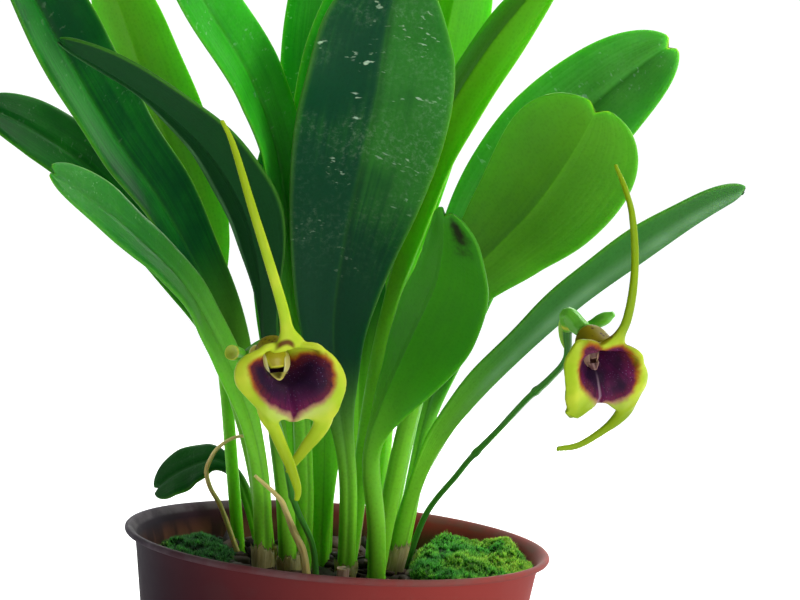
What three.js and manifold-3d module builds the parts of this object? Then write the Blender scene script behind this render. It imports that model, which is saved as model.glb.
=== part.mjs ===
// A small masdevallia orchid in a round plastic nursery pot, in millimetres, +Z up.
// The origin is the centre of the pot's flat base. The plant is a clump of leathery, channelled leaves, each
// on its own thin stem in the bark, with two flowers whose fused sepals end in three tails.
import * as THREE from "three";
import { mergeVertices } from "three/addons/utils/BufferGeometryUtils.js";
import Module from "manifold-3d";

const wasm = await Module();
wasm.setup();

// ---- Driving dimensions ----

const gap = 0.3; // between pieces that touch
const pot = {
  height: 68, rimRadius: 40, collarRadius: 38.2, baseRadius: 28,
  wall: 1.3, floor: 1.6, bead: 1.7, sides: 48,
};
const drain = { count: 6, radius: 3.5, circle: 17, sides: 10 };
const soilTop = 60;
const stemDepth = 8; // how far each stem stands in the bark
const stemRadius = 1.55;
const hole = { clearance: 0.45, rise: 7, sides: 6, steps: 3 };
const leafThickness = { rib: 1.5, edge: 0.7 };
const leafTip = { notch: 1.1, from: 0.93, halfWidth: 0.6, roundness: 2.3 };
const leafMesh = { around: 10, along: 14 };

const colours = {
  leaf: 0x1f6b2a,
  youngLeaf: 0x4a9a1c,
  stalk: 0x4f8f2c,
  sepal: 0xc9c928,
  centre: 0x8c6a2a,
  dry: 0xa99a62,
  bark: 0x4a3524,
  moss: 0x3f8a1e,
  shadeMoss: 0x24501f,
  pot: 0x8e3a32,
};

// ---- Each leaf: where its stem stands in the bark, and the points that its midrib passes from there to its
// tip. It opens from a stem to a blade at one share of its length and is widest at another. facing is the way
// its upper face looks, and fold lifts its margins over the midrib.
const leaves = [
  {
    name: "leaf_front_centre", foot: [2, 3], width: 26, opens: 0.18, widest: 0.78,
    facing: [0.1, -1, 0.3], fold: 0.24,
    rib: [
      [1, 1, 78], [-2, -2, 94], [-4, -6, 108], [-3, -12, 124],
      [-1, -19, 137], [1, -27, 149], [2, -34, 160], [4, -41, 170],
    ],
  },
  {
    name: "leaf_front_right_short", foot: [8, -6], width: 17, opens: 0.2, widest: 0.66,
    facing: [0.62, 0.6, 0.52], fold: 0.16,
    rib: [
      [7, -8, 72], [4, -10, 85], [6, -14, 94], [8, -20, 101],
      [10, -27, 108], [13, -34, 115], [14, -41, 121], [15, -48, 127],
    ],
  },
  {
    name: "leaf_right_broad", foot: [7.6, 0], width: 23.5, opens: 0.36, widest: 0.85,
    facing: [0.25, 1, 0.3], fold: 0.14,
    rib: [
      [9, -1, 74], [11, -5, 90], [14, -9, 106], [19, -14, 118],
      [25, -20, 126], [30, -29, 133], [34, -40, 141], [37, -50, 149],
    ],
  },
  {
    name: "leaf_right_back", foot: [9, 10], width: 22, opens: 0.34, widest: 0.78,
    facing: [-0.1, -1, 0.5], fold: 0.16,
    rib: [
      [10, 9, 76], [12, 7, 92], [15, 4, 108], [19, 0, 121],
      [25.5, -4, 133.5], [33.5, -8, 144.5], [42.5, -12, 154.5], [53, -15, 164],
    ],
  },
  {
    name: "leaf_right_low", foot: [10.6, 5], width: 13, opens: 0.14, widest: 0.72,
    facing: [-0.5, 0.45, 0.75], fold: 0.42,
    rib: [
      [13, 3.5, 75], [16.8, -1, 86], [22.3, -6, 95.5], [30.6, -10, 106],
      [40, -12, 116], [49, -14, 124], [59.5, -13, 132.5], [69, -11, 139],
    ],
  },
  {
    name: "leaf_back_right_tall", foot: [2, 13], width: 10.5, opens: 0.36, widest: 0.76,
    facing: [0.75, 0.5, 0.5], fold: 0.3,
    rib: [
      [3, 13, 76], [4, 11, 92], [5.5, 9, 108], [7.5, 6, 122],
      [10.5, 2, 137], [15, -2, 150], [22, -8, 163], [32, -13, 177],
    ],
  },
  {
    name: "leaf_back_right_upright", foot: [7, 17], width: 18, opens: 0.36, widest: 0.76,
    facing: [-0.2, 1, 0.1], fold: 0.2,
    rib: [
      [7, 17, 77], [7, 17, 93], [7, 16, 111], [8, 15, 129],
      [9.5, 13, 146], [12, 11, 162], [14, 9, 177], [16, 8, 188],
    ],
  },
  {
    name: "leaf_centre_left", foot: [-2.5, 9], width: 19, opens: 0.28, widest: 0.74,
    facing: [0.1, -1, 0.2], fold: 0.2,
    rib: [
      [-3, 8, 78], [-4.5, 6, 95], [-6, 3, 112], [-6, -1, 128],
      [-5.5, -6, 142], [-4, -12, 155], [-1, -18, 168], [1, -23, 180],
    ],
  },
  {
    name: "leaf_back_left_upright", foot: [-3, 17], width: 17, opens: 0.36, widest: 0.76,
    facing: [0.1, -1, 0.1], fold: 0.2,
    rib: [
      [-4, 17, 78], [-6, 16, 96], [-7, 15, 114], [-8.5, 13, 132],
      [-10, 11, 148], [-10.5, 9, 163], [-10, 7, 176], [-8, 6, 187],
    ],
  },
  {
    name: "leaf_left_bright", foot: [-7, 4], width: 14, opens: 0.48, widest: 0.76,
    facing: [0.6, -0.75, 0.3], fold: 0.3,
    rib: [
      [-8, 3, 76], [-10, 1, 94], [-12.5, -1, 111], [-14.5, -5, 126],
      [-16.5, -12, 138], [-21, -24, 150], [-28.5, -36, 161], [-37, -44, 173],
    ],
  },
  {
    name: "leaf_left_arching", foot: [-7.8, -3], width: 13, opens: 0.36, widest: 0.66,
    facing: [0.2, 0.4, 0.9], fold: 0.22,
    rib: [
      [-9.7, -3.9, 76], [-13, -5, 91], [-15.5, -7, 105], [-17.5, -10, 117], [-20.5, -18, 128],
      [-26, -27, 137], [-34, -34, 144], [-43, -39, 149], [-52, -41, 153],
    ],
  },
  {
    name: "leaf_left_young", young: true, foot: [-20, 19.5], width: 17, opens: 0.34, widest: 0.7,
    facing: [0.2, 0.9, 0.35], fold: 0.16,
    rib: [
      [-22.5, 18.5, 76], [-25, 17.8, 92], [-28, 16.3, 108], [-32, 13, 123],
      [-37.5, 8.5, 137], [-43, 4.5, 150], [-48, 2, 162], [-54, 0, 175],
    ],
  },
  {
    name: "leaf_left_long", foot: [-13, 4], width: 18.5, opens: 0.36, widest: 0.76,
    facing: [0.7, -0.6, 0.4], fold: 0.34,
    rib: [
      [-16, 4, 76], [-19.5, 3, 90], [-23.5, 1, 104], [-30, -5, 116], [-37, -13, 128],
      [-44.5, -22, 138.5], [-52, -32, 151], [-59, -38, 163], [-64, -41, 175],
    ],
  },
  {
    name: "leaf_left_low", foot: [-13.8, -4.7], width: 10.2, opens: 0.42, widest: 0.72,
    facing: [0.35, -0.75, 0.6], fold: 0.2,
    rib: [
      [-15.4, -6.3, 76], [-18, -8, 87.5], [-21, -11, 97], [-25.2, -17, 105.5],
      [-30.2, -28, 114.5], [-37, -40, 122], [-42.6, -48, 127], [-49, -54, 131.5],
    ],
  },
  {
    name: "leaf_far_left", foot: [-14, 12], width: 16, opens: 0.34, widest: 0.74,
    facing: [0.3, -0.75, 0.6], fold: 0.18,
    rib: [
      [-17, 12, 76], [-22, 12, 91], [-27.5, 11, 103], [-35, 9, 115],
      [-44, 5, 125], [-53, 0, 133.5], [-62, -8, 139], [-70, -14, 142.5],
    ],
  },
  {
    name: "leaf_small_back_left", foot: [-15.5, 21], width: 8, opens: 0.32, widest: 0.62,
    facing: [-0.2, -0.7, 0.7], fold: 0.08,
    rib: [
      [-19, 23, 69], [-22, 24.5, 74], [-26, 26.5, 76.5],
      [-30, 28, 75.5], [-35, 30, 72.5], [-39.5, 32, 68.5],
    ],
  },
  {
    name: "leaf_rear_left", foot: [-9, 22], width: 20, opens: 0.3, widest: 0.74,
    facing: [0.1, -0.9, 0.5], fold: 0.2,
    rib: [
      [-11, 26, 78], [-14, 31, 95], [-17, 37, 111],
      [-19, 43, 126], [-21, 49, 140], [-22, 54, 152],
    ],
  },
  {
    name: "leaf_rear_centre", foot: [2, 23], width: 22, opens: 0.3, widest: 0.74,
    facing: [0, -1, 0.3], fold: 0.18,
    rib: [
      [2, 26, 80], [1, 30, 98], [1, 34, 116],
      [2, 38, 134], [3, 41, 150], [4, 43, 162],
    ],
  },
  {
    name: "leaf_rear_right", foot: [12, 21], width: 19, opens: 0.3, widest: 0.74,
    facing: [-0.5, -0.7, 0.6], fold: 0.2,
    rib: [
      [14, 25, 77], [16, 31, 92], [19, 38, 106],
      [22, 45, 119], [26, 52, 129], [31, 57, 137],
    ],
  },
];

// ---- The two flowers. mouth is the middle of the flower's face, facing the way it looks, up the way of its
// dorsal sepal. breadth is a factor on the width of the face, whose lobes bend back on the narrower one. The
// tails are points in the flower's own frame (right, up, out), the stalks in the part's.
const flower = {
  tubeDepth: 8.2, // from the face to the foot of the cup
  tubeRise: 1.5, // how far the cup bends up on the way
  mouth: 3.4,
  mouthSquash: 0.22,
  sheet: 0.9,
  tail: { root: 1.7, middle: 1, tip: 0.55, flat: 0.6, sides: 6, steps: 9 },
};
const flowers = [
  {
    name: "flower_left",
    mouth: [-8, -60, 105],
    facing: [0.47, -0.88, 0.02],
    up: [-0.13, 0.02, 1],
    breadth: 1,
    dorsalTail: [
      [0, 3, -1.1], [-0.6, 5, -0.4], [-1.3, 7.9, 0.1], [-3.5, 14.2, 1], [-6.6, 23.8, 1.3],
      [-9.2, 33.3, 0.7], [-11, 37.1, 0.7],
    ],
    leftTail: [
      [-5, -7.6, -0.5], [-3.3, -10.2, 0.1], [-2.5, -12.8, 0.7], [-1.4, -15.8, 1.3], [-0.6, -18.3, 1.5],
      [-0.1, -20.3, 1.4], [-0.3, -21.8, 1.1],
    ],
    rightTail: [
      [5.4, -7.6, -0.5], [5, -10.1, -0.1], [4.1, -11.9, -0.5], [2.7, -13.7, -1.1], [1, -16, -1.7],
      [-0.3, -17.9, -2.1],
    ],
    stalkFoot: [-3, -9],
    stalk: [[-4.4, -11, 68], [-7.9, -20, 77], [-10.5, -35, 91], [-13.4, -44, 98.5], [-15.5, -48.6, 103]],
    ovary: [-15, -50.6, 104.6],
    stump: [[-16.6, -51, 104.4], [-18, -54, 105]],
  },
  {
    name: "flower_right",
    mouth: [42, -54, 107.9],
    facing: [0.56, -0.69, -0.46],
    up: [0.07, -0.41, 0.89],
    breadth: 0.88,
    dorsalTail: [
      [0, 3, -1.1], [0.8, 5, -1.2], [2.3, 7.4, -1.8], [3.5, 11.5, -3.6], [5, 15.8, -6.8],
      [5.3, 21.1, -10.2], [5.5, 23.9, -13.4], [4.6, 27, -16.3],
    ],
    leftTail: [
      [-5, -7.4, -0.4], [-3.9, -9, -0.6], [-2.6, -10.2, -2], [-0.6, -11.8, -4], [1.6, -12.8, -6.4],
      [3.6, -13, -8.6],
    ],
    rightTail: [
      [5.4, -7.6, -0.5], [5.4, -10, 0], [4.2, -12, 0.1], [1.8, -14, 0.2], [-2.2, -15.1, 0.3],
      [-6.9, -14.6, 0.5],
    ],
    stalkFoot: [13.2, 12.5],
    stalk: [
      [16.4, 9, 72], [21.4, 2, 81], [23.6, -2, 85], [27.7, -13, 92], [31.3, -26, 99], [34.1, -35, 103.5],
      [36, -42, 107.8], [35.4, -45.6, 112.6],
    ],
    ovary: [35.2, -47.2, 115],
    stump: [[37.6, -45, 112.8], [40.3, -46, 113.6], [42.5, -47.5, 115.3]],
  },
];
const stalk = { radius: 0.75, sides: 6, steps: 20, joints: [0.45, 0.78], ovary: 1.35, stump: 1.15 };

// Half of the outline of the face round the mouth: degrees from the dorsal sepal, and reach. The two lateral
// sepals are fused into one broad lamina, whose lobes run down into the tails on both sides of a small point.
const faceOutline = [
  [0, 2.4], [30, 2.6], [50, 3.3], [66, 5.1], [80, 7], [92, 8.6], [106, 9.7],
  [120, 10.3], [134, 10.4], [146, 10.7], [156, 11.4], [162, 10.3], [169, 9.2], [180, 9.6],
];

// The inside of the flower from the foot of the cup out to the margin of the face: the share of the way from
// the mouth to the margin, the radius as a share of the mouth, and the depth.
const cupProfile = [
  [0, 0.3, -7.3],
  [0, 0.74, -5.6],
  [0, 0.96, -3.2],
  [0.1, 1, -1.3],
  [0.4, 1, -0.5],
  [0.75, 1, 0],
  [1, 1, 0.1],
];

// ---- Old flower stalks and a cut stem that are still in the clump, and papery sheaths round some stems ----
const dryStalks = [
  {
    name: "dry_stalk_front", foot: [-4.6, -10], radius: 0.85, tip: 0.6, steps: 12,
    path: [[-6, -10.3, 66.2], [-7.9, -11, 69.9], [-9.6, -11, 73.4], [-11.2, -12, 76.2], [-15.6, -14, 80]],
  },
  {
    name: "dry_stalk_back", foot: [-19.6, 14], radius: 0.6, tip: 0.45, steps: 14,
    path: [
      [-23.6, 13.5, 69], [-26, 12, 73.2], [-26.9, 11, 76.4], [-26.2, 10, 79.1], [-24.7, 9, 81.6],
      [-21.9, 8, 83.8], [-19.1, 8, 84.5],
    ],
  },
  {
    name: "cut_stem", foot: [1.5, -6.8], radius: 1.15, tip: 1.1, steps: 3,
    path: [[1.5, -7, 61.4], [1.5, -7.1, 63.4]],
  },
];
const sheath = { height: 13, wall: 0.7, flare: 0.35, from: 1.6, sides: 8, steps: 4 };
const sheathedLeaves = [
  "leaf_left_low", "leaf_left_arching", "leaf_front_centre", "leaf_right_low", "leaf_rear_centre",
];

// ---- Moss in mounds on an ellipse, and bark chips on a ring, drawn with a seeded draw ----
const mossBeds = [
  {
    name: "moss_right", centre: [25, 3], reach: [9, 24], mounds: 11, radius: [6, 8.5], rise: 4.6,
    seed: 7, colour: colours.moss,
  },
  {
    name: "moss_left", centre: [-27, 2], reach: [5, 17], mounds: 9, radius: [6.5, 8], rise: 3,
    seed: 21, colour: colours.shadeMoss,
  },
];
const mound = { sides: 8, rings: 5 };
const bark = { count: 20, size: [9, 5, 3], ring: [10, 31], tilt: 0.9, clearOfMoss: 9, seed: 5 };

// ---- Small helpers ----

const vec = (p) => new THREE.Vector3(...p);
const smooth = (a, b, x) => THREE.MathUtils.smoothstep(x, a, b);
const { lerp } = THREE.MathUtils;

// A repeatable draw between 0 and 1.
function seededDraw(seed) {
  let state = seed;
  return () => {
    state = (state * 16807) % 2147483647;
    return state / 2147483647;
  };
}

// A closed solid from a geometry, with its shared corners merged and its faces turned outwards.
function solidOf(geometry) {
  const bare = new THREE.BufferGeometry();
  bare.setAttribute("position", geometry.getAttribute("position"));
  if (geometry.index) bare.setIndex(geometry.index);
  const merged = mergeVertices(bare, 1e-4);
  const corners = merged.index.array;
  const faces = [];
  for (let i = 0; i < corners.length; i += 3) {
    const [a, b, c] = [corners[i], corners[i + 1], corners[i + 2]];
    if (a !== b && b !== c && c !== a) faces.push(a, b, c);
  }
  const vertProperties = new Float32Array(merged.attributes.position.array);
  const build = () =>
    new wasm.Manifold(new wasm.Mesh({ numProp: 3, vertProperties, triVerts: new Uint32Array(faces) }));
  const made = build();
  if (made.volume() > 0) return made;
  faces.reverse();
  return build();
}

function geometryOf(solid) {
  const mesh = solid.getMesh();
  const geometry = new THREE.BufferGeometry();
  geometry.setAttribute("position", new THREE.BufferAttribute(mesh.vertProperties, 3));
  geometry.setIndex(new THREE.BufferAttribute(mesh.triVerts, 1));
  geometry.computeVertexNormals();
  return geometry;
}

const largestBody = (solid) => solid.decompose().sort((a, b) => b.volume() - a.volume())[0];
const without = (solid, cutters) =>
  largestBody(cutters.reduce((left, cutter) => left.subtract(cutter), solid));

// A closed skin: a lathe gives the grid, and place(angle, share, isPole) puts each of its corners.
// The first and last rows are poles, and the rows between run from share 0 to share 1.
function skin(around, along, place) {
  const rows = along + 3;
  const isEnd = (row) => row === 0 || row === rows - 1;
  const profile = Array.from({ length: rows }, (_, row) => new THREE.Vector2(isEnd(row) ? 0 : 1, row));
  const geometry = new THREE.LatheGeometry(profile, around);
  const { position, uv } = geometry.attributes;
  for (let i = 0; i < position.count; i++) {
    const row = Math.round(uv.getY(i) * (rows - 1));
    const share = THREE.MathUtils.clamp((row - 1) / along, 0, 1);
    const point = place((uv.getX(i) % 1) * 2 * Math.PI, share, isEnd(row));
    position.setXYZ(i, point.x, point.y, point.z);
  }
  return solidOf(geometry);
}

// A frame that travels along a curve: its origin, its tangent, the way its upper face looks, and across it.
function travelling(curve, facing) {
  return (share) => {
    const origin = curve.getPointAt(share);
    const tangent = curve.getTangentAt(share);
    const up = vec(facing);
    up.addScaledVector(tangent, -up.dot(tangent)).normalize();
    const across = new THREE.Vector3().crossVectors(tangent, up);
    return { origin, tangent, up, across };
  };
}

const curveThrough = (points) => new THREE.CatmullRomCurve3(points.map(vec), false, "catmullrom", 0.5);

// The stretch of a curve between two shares of its length.
const stretch = (curve, from, to) => ({
  getPointAt: (share) => curve.getPointAt(lerp(from, to, share)),
  getTangentAt: (share) => curve.getTangentAt(lerp(from, to, share)),
});

// A round or flattened stem along a curve, whose radius may change with the share of its length.
function stem(curve, radiusAt, { sides = 8, steps = 12, facing = [0.3, 1, 0.1], flat = 1 } = {}) {
  const frame = travelling(curve, facing);
  return skin(sides, steps, (angle, share, isPole) => {
    const { origin, up, across } = frame(share);
    const radius = isPole ? 0 : radiusAt(share);
    return origin
      .addScaledVector(across, radius * Math.sin(angle))
      .addScaledVector(up, flat * radius * Math.cos(angle));
  });
}

// A stem's points from under the bark up through its foot. In the bark it is in line with the part above.
function rooted(foot, path) {
  const atSoil = vec([...foot, soilTop]);
  const lean = vec(path[0]).sub(atSoil).normalize();
  const root = atSoil.clone().addScaledVector(lean, -stemDepth);
  return [root.toArray(), atSoil.toArray(), ...path];
}

// ---- Leaves ----

// Half the width of a leaf at a share of its length: a stem that widens into a blade with a rounded tip.
function halfWidth(share, leaf) {
  const opened = smooth(leaf.opens, leaf.widest, share);
  const towardsTip = Math.max(0, (share - leaf.widest) / (1 - leaf.widest));
  const tip = Math.sqrt(Math.max(0, 1 - towardsTip ** leafTip.roundness));
  return lerp(stemRadius, leaf.width / 2, opened) * tip;
}

function leafSolid(leaf) {
  const frame = travelling(curveThrough(rooted(leaf.foot, leaf.rib)), leaf.facing);
  const widestAngle = (2 * Math.PI * Math.round(leafMesh.around / 4)) / leafMesh.around;
  return skin(leafMesh.around, leafMesh.along, (angle, row, isPole) => {
    const share = 0.996 * (1 - (1 - row) ** 1.5); // closer rows towards the tip
    const { origin, tangent, up, across } = frame(share);
    const half = halfWidth(share, leaf);
    const flatness = smooth(leaf.opens, leaf.opens + 0.2, share);
    const side = isPole ? 0 : Math.sin(angle) / Math.sin(widestAngle);
    const edge = Math.abs(side);
    const face = isPole ? 0 : Math.sign(Math.round(Math.cos(angle) * 1e6));
    const thickness = lerp(leafThickness.rib, leafThickness.edge, edge ** 0.8);
    const blade = leaf.fold * half * edge ** 1.4 + (face * thickness) / 2;
    const round = isPole ? 0 : stemRadius * Math.cos(angle);
    const middle = Math.max(0, 1 - edge / leafTip.halfWidth);
    const notch = leafTip.notch * smooth(leafTip.from, 1, share) * middle;
    return origin
      .addScaledVector(across, half * side)
      .addScaledVector(up, lerp(round, blade, flatness))
      .addScaledVector(tangent, -notch);
  });
}

// The stretch of a stem in and just over the bark, a little fatter, to cut its hole with.
function holeFor(points, radius) {
  const curve = curveThrough(points);
  const lower = stretch(curve, 0, Math.min(1, (stemDepth + hole.rise) / curve.getLength()));
  const below = vec(points[0]).sub(vec(points[1])).setLength(gap);
  const fatter = radius + hole.clearance;
  return stem(lower, () => fatter, { sides: hole.sides, steps: hole.steps }).translate(below.toArray());
}

function sheathSolid(leaf) {
  const curve = curveThrough(rooted(leaf.foot, leaf.rib));
  const length = curve.getLength();
  const from = (stemDepth + sheath.from) / length;
  const to = from + sheath.height / length;
  const over = 1 / length;
  const inner = (share) => stemRadius + gap + sheath.flare * share;
  const mesh = { sides: sheath.sides, steps: sheath.steps };
  const outside = stem(stretch(curve, from, to), (share) => inner(share) + sheath.wall, mesh);
  return outside.subtract(stem(stretch(curve, from - over, to + over), inner, mesh));
}

// ---- Flowers ----

// The cup and face of the sepals, from the foot of the cup out to the margin and back along the outside.
function calyx(breadth) {
  const half = faceOutline.length - 1;
  const rows = cupProfile.length;
  return skin(2 * half, 2 * rows - 1, (turn, row, isPole) => {
    const spoke = Math.round((turn / (2 * Math.PI)) * 2 * half);
    const [degrees, reachHere] = faceOutline[Math.min(spoke, 2 * half - spoke)];
    const angle = THREE.MathUtils.degToRad(spoke <= half ? degrees : -degrees);
    const line = Math.round(row * (2 * rows - 1));
    const outside = line >= rows;
    const [outward, wall, depth] = cupProfile[outside ? 2 * rows - 1 - line : line];
    const mouth = flower.mouth * (1 - flower.mouthSquash * Math.cos(angle) ** 2);
    const reach = Math.max(reachHere, mouth + flower.sheet);
    const inCup = outward < 0.2;
    const radius = lerp(mouth * wall, reach, outward) + (outside && inCup ? flower.sheet : 0);
    const back = outside && !(inCup && wall > 0.5) ? flower.sheet : 0;
    const rise = flower.tubeRise * (depth / flower.tubeDepth) ** 2;
    const spread = isPole ? 0 : radius;
    const across = spread * breadth * Math.sin(angle);
    return new THREE.Vector3(across, spread * Math.cos(angle) + rise, depth - back);
  });
}

function tail(points, rootFactor) {
  const { root, middle, tip, flat, sides, steps } = flower.tail;
  const narrowing = (share) => lerp(root * rootFactor, middle, smooth(0, 0.22, share));
  const radiusAt = (share) => lerp(narrowing(share), tip, smooth(0.2, 1, share));
  return stem(curveThrough(points), radiusAt, { sides, steps, facing: [0.1, 0.2, 1], flat });
}

const sepalSolid = (bloom) =>
  calyx(bloom.breadth)
    .add(tail(bloom.dorsalTail, 1.2))
    .add(tail(bloom.leftTail, 1))
    .add(tail(bloom.rightTail, 1));

// The column, the two small petals beside it and the lip under it, on one foot in the cup.
function centreSolid() {
  const foot = new THREE.CylinderGeometry(1.4, 1, 1, 8).rotateX(Math.PI / 2).translate(0, 0.6, -5.4);
  const blade = (points, radius, facing, flat) => {
    const radiusAt = (share) => radius * (0.7 + 0.5 * Math.sin(Math.PI * Math.min(1, share * 1.1)));
    return stem(curveThrough(points), radiusAt, { sides: 6, steps: 5, facing, flat });
  };
  const petal = (side) =>
    blade(
      [[side * 0.9, 0.6, -5.4], [side * 1.7, 1.1, -3], [side * 1.8, 0, -0.9], [side * 0.9, -1.6, 0.1]],
      0.8, [side, 0, 0.2], 0.45,
    );
  const front = [0, 1, 0.3];
  const column = blade([[0, 0.9, -5.4], [0, 1.4, -3.2], [0, 1.1, -1.4], [0, 0.4, -0.4]], 0.85, front, 0.8);
  const lip = blade([[0, 0, -5.4], [0, -1.1, -3.2], [0, -1.5, -1.2], [0, -2, 0]], 0.9, front, 0.45);
  return solidOf(foot).add(column).add(lip).add(petal(1)).add(petal(-1));
}

// The flower's own frame in the part: right, up and out.
function flowerFrame(bloom) {
  const out = vec(bloom.facing).normalize();
  const up = vec(bloom.up);
  up.addScaledVector(out, -up.dot(out)).normalize();
  const right = new THREE.Vector3().crossVectors(up, out);
  return new THREE.Matrix4().makeBasis(right, up, out).setPosition(vec(bloom.mouth));
}

// The green stalk from the bark to the flower: a thin peduncle with joints, a bract at its top, the ovary
// behind the flower and the stump that an earlier flower has left.
function stalkSolid(bloom) {
  const { radius, sides, steps, joints } = stalk;
  const ring = (share, at) => 0.4 * Math.exp(-(((share - at) / 0.02) ** 2));
  const swelling = (share) => joints.reduce((sum, at) => sum + ring(share, at), 1);
  const bract = (share) => 0.5 * smooth(0.93, 1, share);
  const curve = curveThrough(rooted(bloom.stalkFoot, bloom.stalk));
  const peduncle = stem(curve, (share) => radius * (swelling(share) + bract(share)), { sides, steps });
  const frame = flowerFrame(bloom);
  const behind = (rise, depth) =>
    new THREE.Vector3(0, rise, -flower.tubeDepth - depth).applyMatrix4(frame).toArray();
  const top = bloom.stalk.at(-1);
  const ovary = [top, bloom.ovary, behind(flower.tubeRise, 1.4), behind(flower.tubeRise, 0.4)];
  const fatter = (from, to) => (share) => lerp(radius, to, smooth(from, 1, share));
  return peduncle
    .add(stem(curveThrough(ovary), fatter(0, stalk.ovary), { sides, steps: 6 }))
    .add(stem(curveThrough([top, ...bloom.stump]), fatter(0.3, stalk.stump), { sides, steps: 6 }));
}

// ---- Pot, bark and moss ----

// The pot's inner radius at a height, less a clearance.
const innerRadius = (z, clear = 0) =>
  lerp(pot.baseRadius, pot.collarRadius, z / pot.height) - pot.wall - clear;

function turned(profile) {
  const points = profile.map(([r, z]) => new THREE.Vector2(r, z));
  return solidOf(new THREE.LatheGeometry(points, pot.sides).rotateX(Math.PI / 2));
}

function potSolid() {
  const { height, rimRadius, collarRadius, baseRadius, wall, floor, bead } = pot;
  const underBead = height - bead;
  const wallAndFloor = turned([
    [0, 0],
    [baseRadius - 1, 0],
    [baseRadius, 1.2],
    [collarRadius, underBead],
    [rimRadius - 0.5, underBead],
    [rimRadius, underBead + 0.5],
    [rimRadius, height - 0.5],
    [rimRadius - 0.6, height],
    [collarRadius - wall + 0.6, height],
    [innerRadius(height), height - 0.6],
    [innerRadius(floor), floor],
    [0, floor],
  ]);
  const drainHole = (i) => {
    const turn = (2 * Math.PI * (i + 0.5)) / drain.count;
    const bar = new THREE.CylinderGeometry(drain.radius, drain.radius, 3 * floor, drain.sides);
    bar.rotateX(Math.PI / 2).translate(drain.circle * Math.cos(turn), drain.circle * Math.sin(turn), 0);
    return solidOf(bar);
  };
  return without(wallAndFloor, Array.from({ length: drain.count }, (_, i) => drainHole(i)));
}

// What fills the pot's inside between two heights, clear of its wall.
const filling = (from, to) =>
  turned([[0, from], [innerRadius(from, gap), from], [innerRadius(to, gap), to], [0, to]]);

function barkSolid(holes) {
  const draw = seededDraw(bark.seed);
  const inMoss = (x, y) =>
    mossBeds.some(({ centre, reach }) => {
      const [across, along] = reach.map((side) => side + bark.clearOfMoss);
      return Math.hypot((x - centre[0]) / across, (y - centre[1]) / along) < 1;
    });
  let solid = filling(pot.floor + gap, soilTop);
  for (let i = 0; i < bark.count; i++) {
    const turn = 2 * Math.PI * draw();
    const reach = lerp(...bark.ring, draw());
    const [x, y] = [reach * Math.cos(turn), reach * Math.sin(turn)];
    const chip = new THREE.BoxGeometry(...bark.size.map((side) => side * lerp(0.6, 1.2, draw())));
    chip.rotateX((draw() - 0.5) * bark.tilt).rotateY((draw() - 0.5) * bark.tilt).rotateZ(6 * draw());
    if (!inMoss(x, y)) solid = solid.add(solidOf(chip.translate(x, y, soilTop - 0.4)));
  }
  return without(solid.intersect(filling(pot.floor + gap, pot.height)), holes);
}

function mossSolid(bed, holes) {
  const draw = seededDraw(bed.seed);
  const mounds = [];
  for (let i = 0; i < bed.mounds; i++) {
    const turn = (2 * Math.PI * (i + 0.4 * draw())) / bed.mounds;
    const out = lerp(0.25, 1, Math.sqrt((i % 3) / 2));
    const radius = lerp(...bed.radius, draw());
    const flat = (bed.rise / radius) * lerp(0.75, 1.15, draw());
    const ball = new THREE.SphereGeometry(radius, mound.sides, mound.rings).scale(1, flat, 1);
    const x = bed.centre[0] + bed.reach[0] * out * Math.cos(turn);
    const y = bed.centre[1] + bed.reach[1] * out * Math.sin(turn);
    mounds.push(solidOf(ball.rotateX(Math.PI / 2).rotateZ(3 * draw()).translate(x, y, soilTop + gap)));
  }
  const heap = mounds.reduce((all, ball) => all.add(ball));
  return without(heap.intersect(filling(soilTop + gap, pot.height)), holes);
}

// ---- The object ----

const plant = new THREE.Group();

function addNode(name, solid, colour, roughness, place = new THREE.Matrix4()) {
  const material = new THREE.MeshStandardMaterial({ color: colour, roughness, metalness: 0 });
  const mesh = new THREE.Mesh(geometryOf(solid), material);
  mesh.name = name;
  mesh.applyMatrix4(place);
  plant.add(mesh);
}

const isSheathed = (leaf) => sheathedLeaves.includes(leaf.name);
const leafHoles = leaves.map((leaf) => holeFor(rooted(leaf.foot, leaf.rib), stemRadius));
const sheathHoles = leaves
  .filter(isSheathed)
  .map((leaf) => holeFor(rooted(leaf.foot, leaf.rib), stemRadius + gap + sheath.wall + sheath.flare));
const stalkHoles = [
  ...flowers.map((bloom) => holeFor(rooted(bloom.stalkFoot, bloom.stalk), stalk.radius)),
  ...dryStalks.map((dry) => holeFor(rooted(dry.foot, dry.path), dry.radius)),
];

addNode("pot", potSolid(), colours.pot, 0.45);
addNode("bark", barkSolid([...leafHoles, ...stalkHoles]), colours.bark, 0.9);
for (const bed of mossBeds) {
  addNode(bed.name, mossSolid(bed, [...leafHoles, ...sheathHoles, ...stalkHoles]), bed.colour, 0.95);
}
for (const leaf of leaves) {
  addNode(leaf.name, leafSolid(leaf), leaf.young ? colours.youngLeaf : colours.leaf, 0.4);
}
for (const leaf of leaves.filter(isSheathed)) {
  addNode(leaf.name.replace("leaf", "sheath"), sheathSolid(leaf), colours.dry, 0.8);
}
for (const bloom of flowers) {
  const frame = flowerFrame(bloom);
  addNode(`${bloom.name}_sepals`, sepalSolid(bloom), colours.sepal, 0.5, frame);
  addNode(`${bloom.name}_centre`, centreSolid(), colours.centre, 0.5, frame);
  addNode(`${bloom.name}_stalk`, stalkSolid(bloom), colours.stalk, 0.5);
}
for (const dry of dryStalks) {
  const curve = curveThrough(rooted(dry.foot, dry.path));
  const radiusAt = (share) => lerp(dry.radius, dry.tip, share);
  addNode(dry.name, stem(curve, radiusAt, { sides: 6, steps: dry.steps }), colours.dry, 0.8);
}

export default plant;
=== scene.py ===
import math
import random
import bpy
import bmesh
from mathutils import Matrix, Vector, noise


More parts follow.
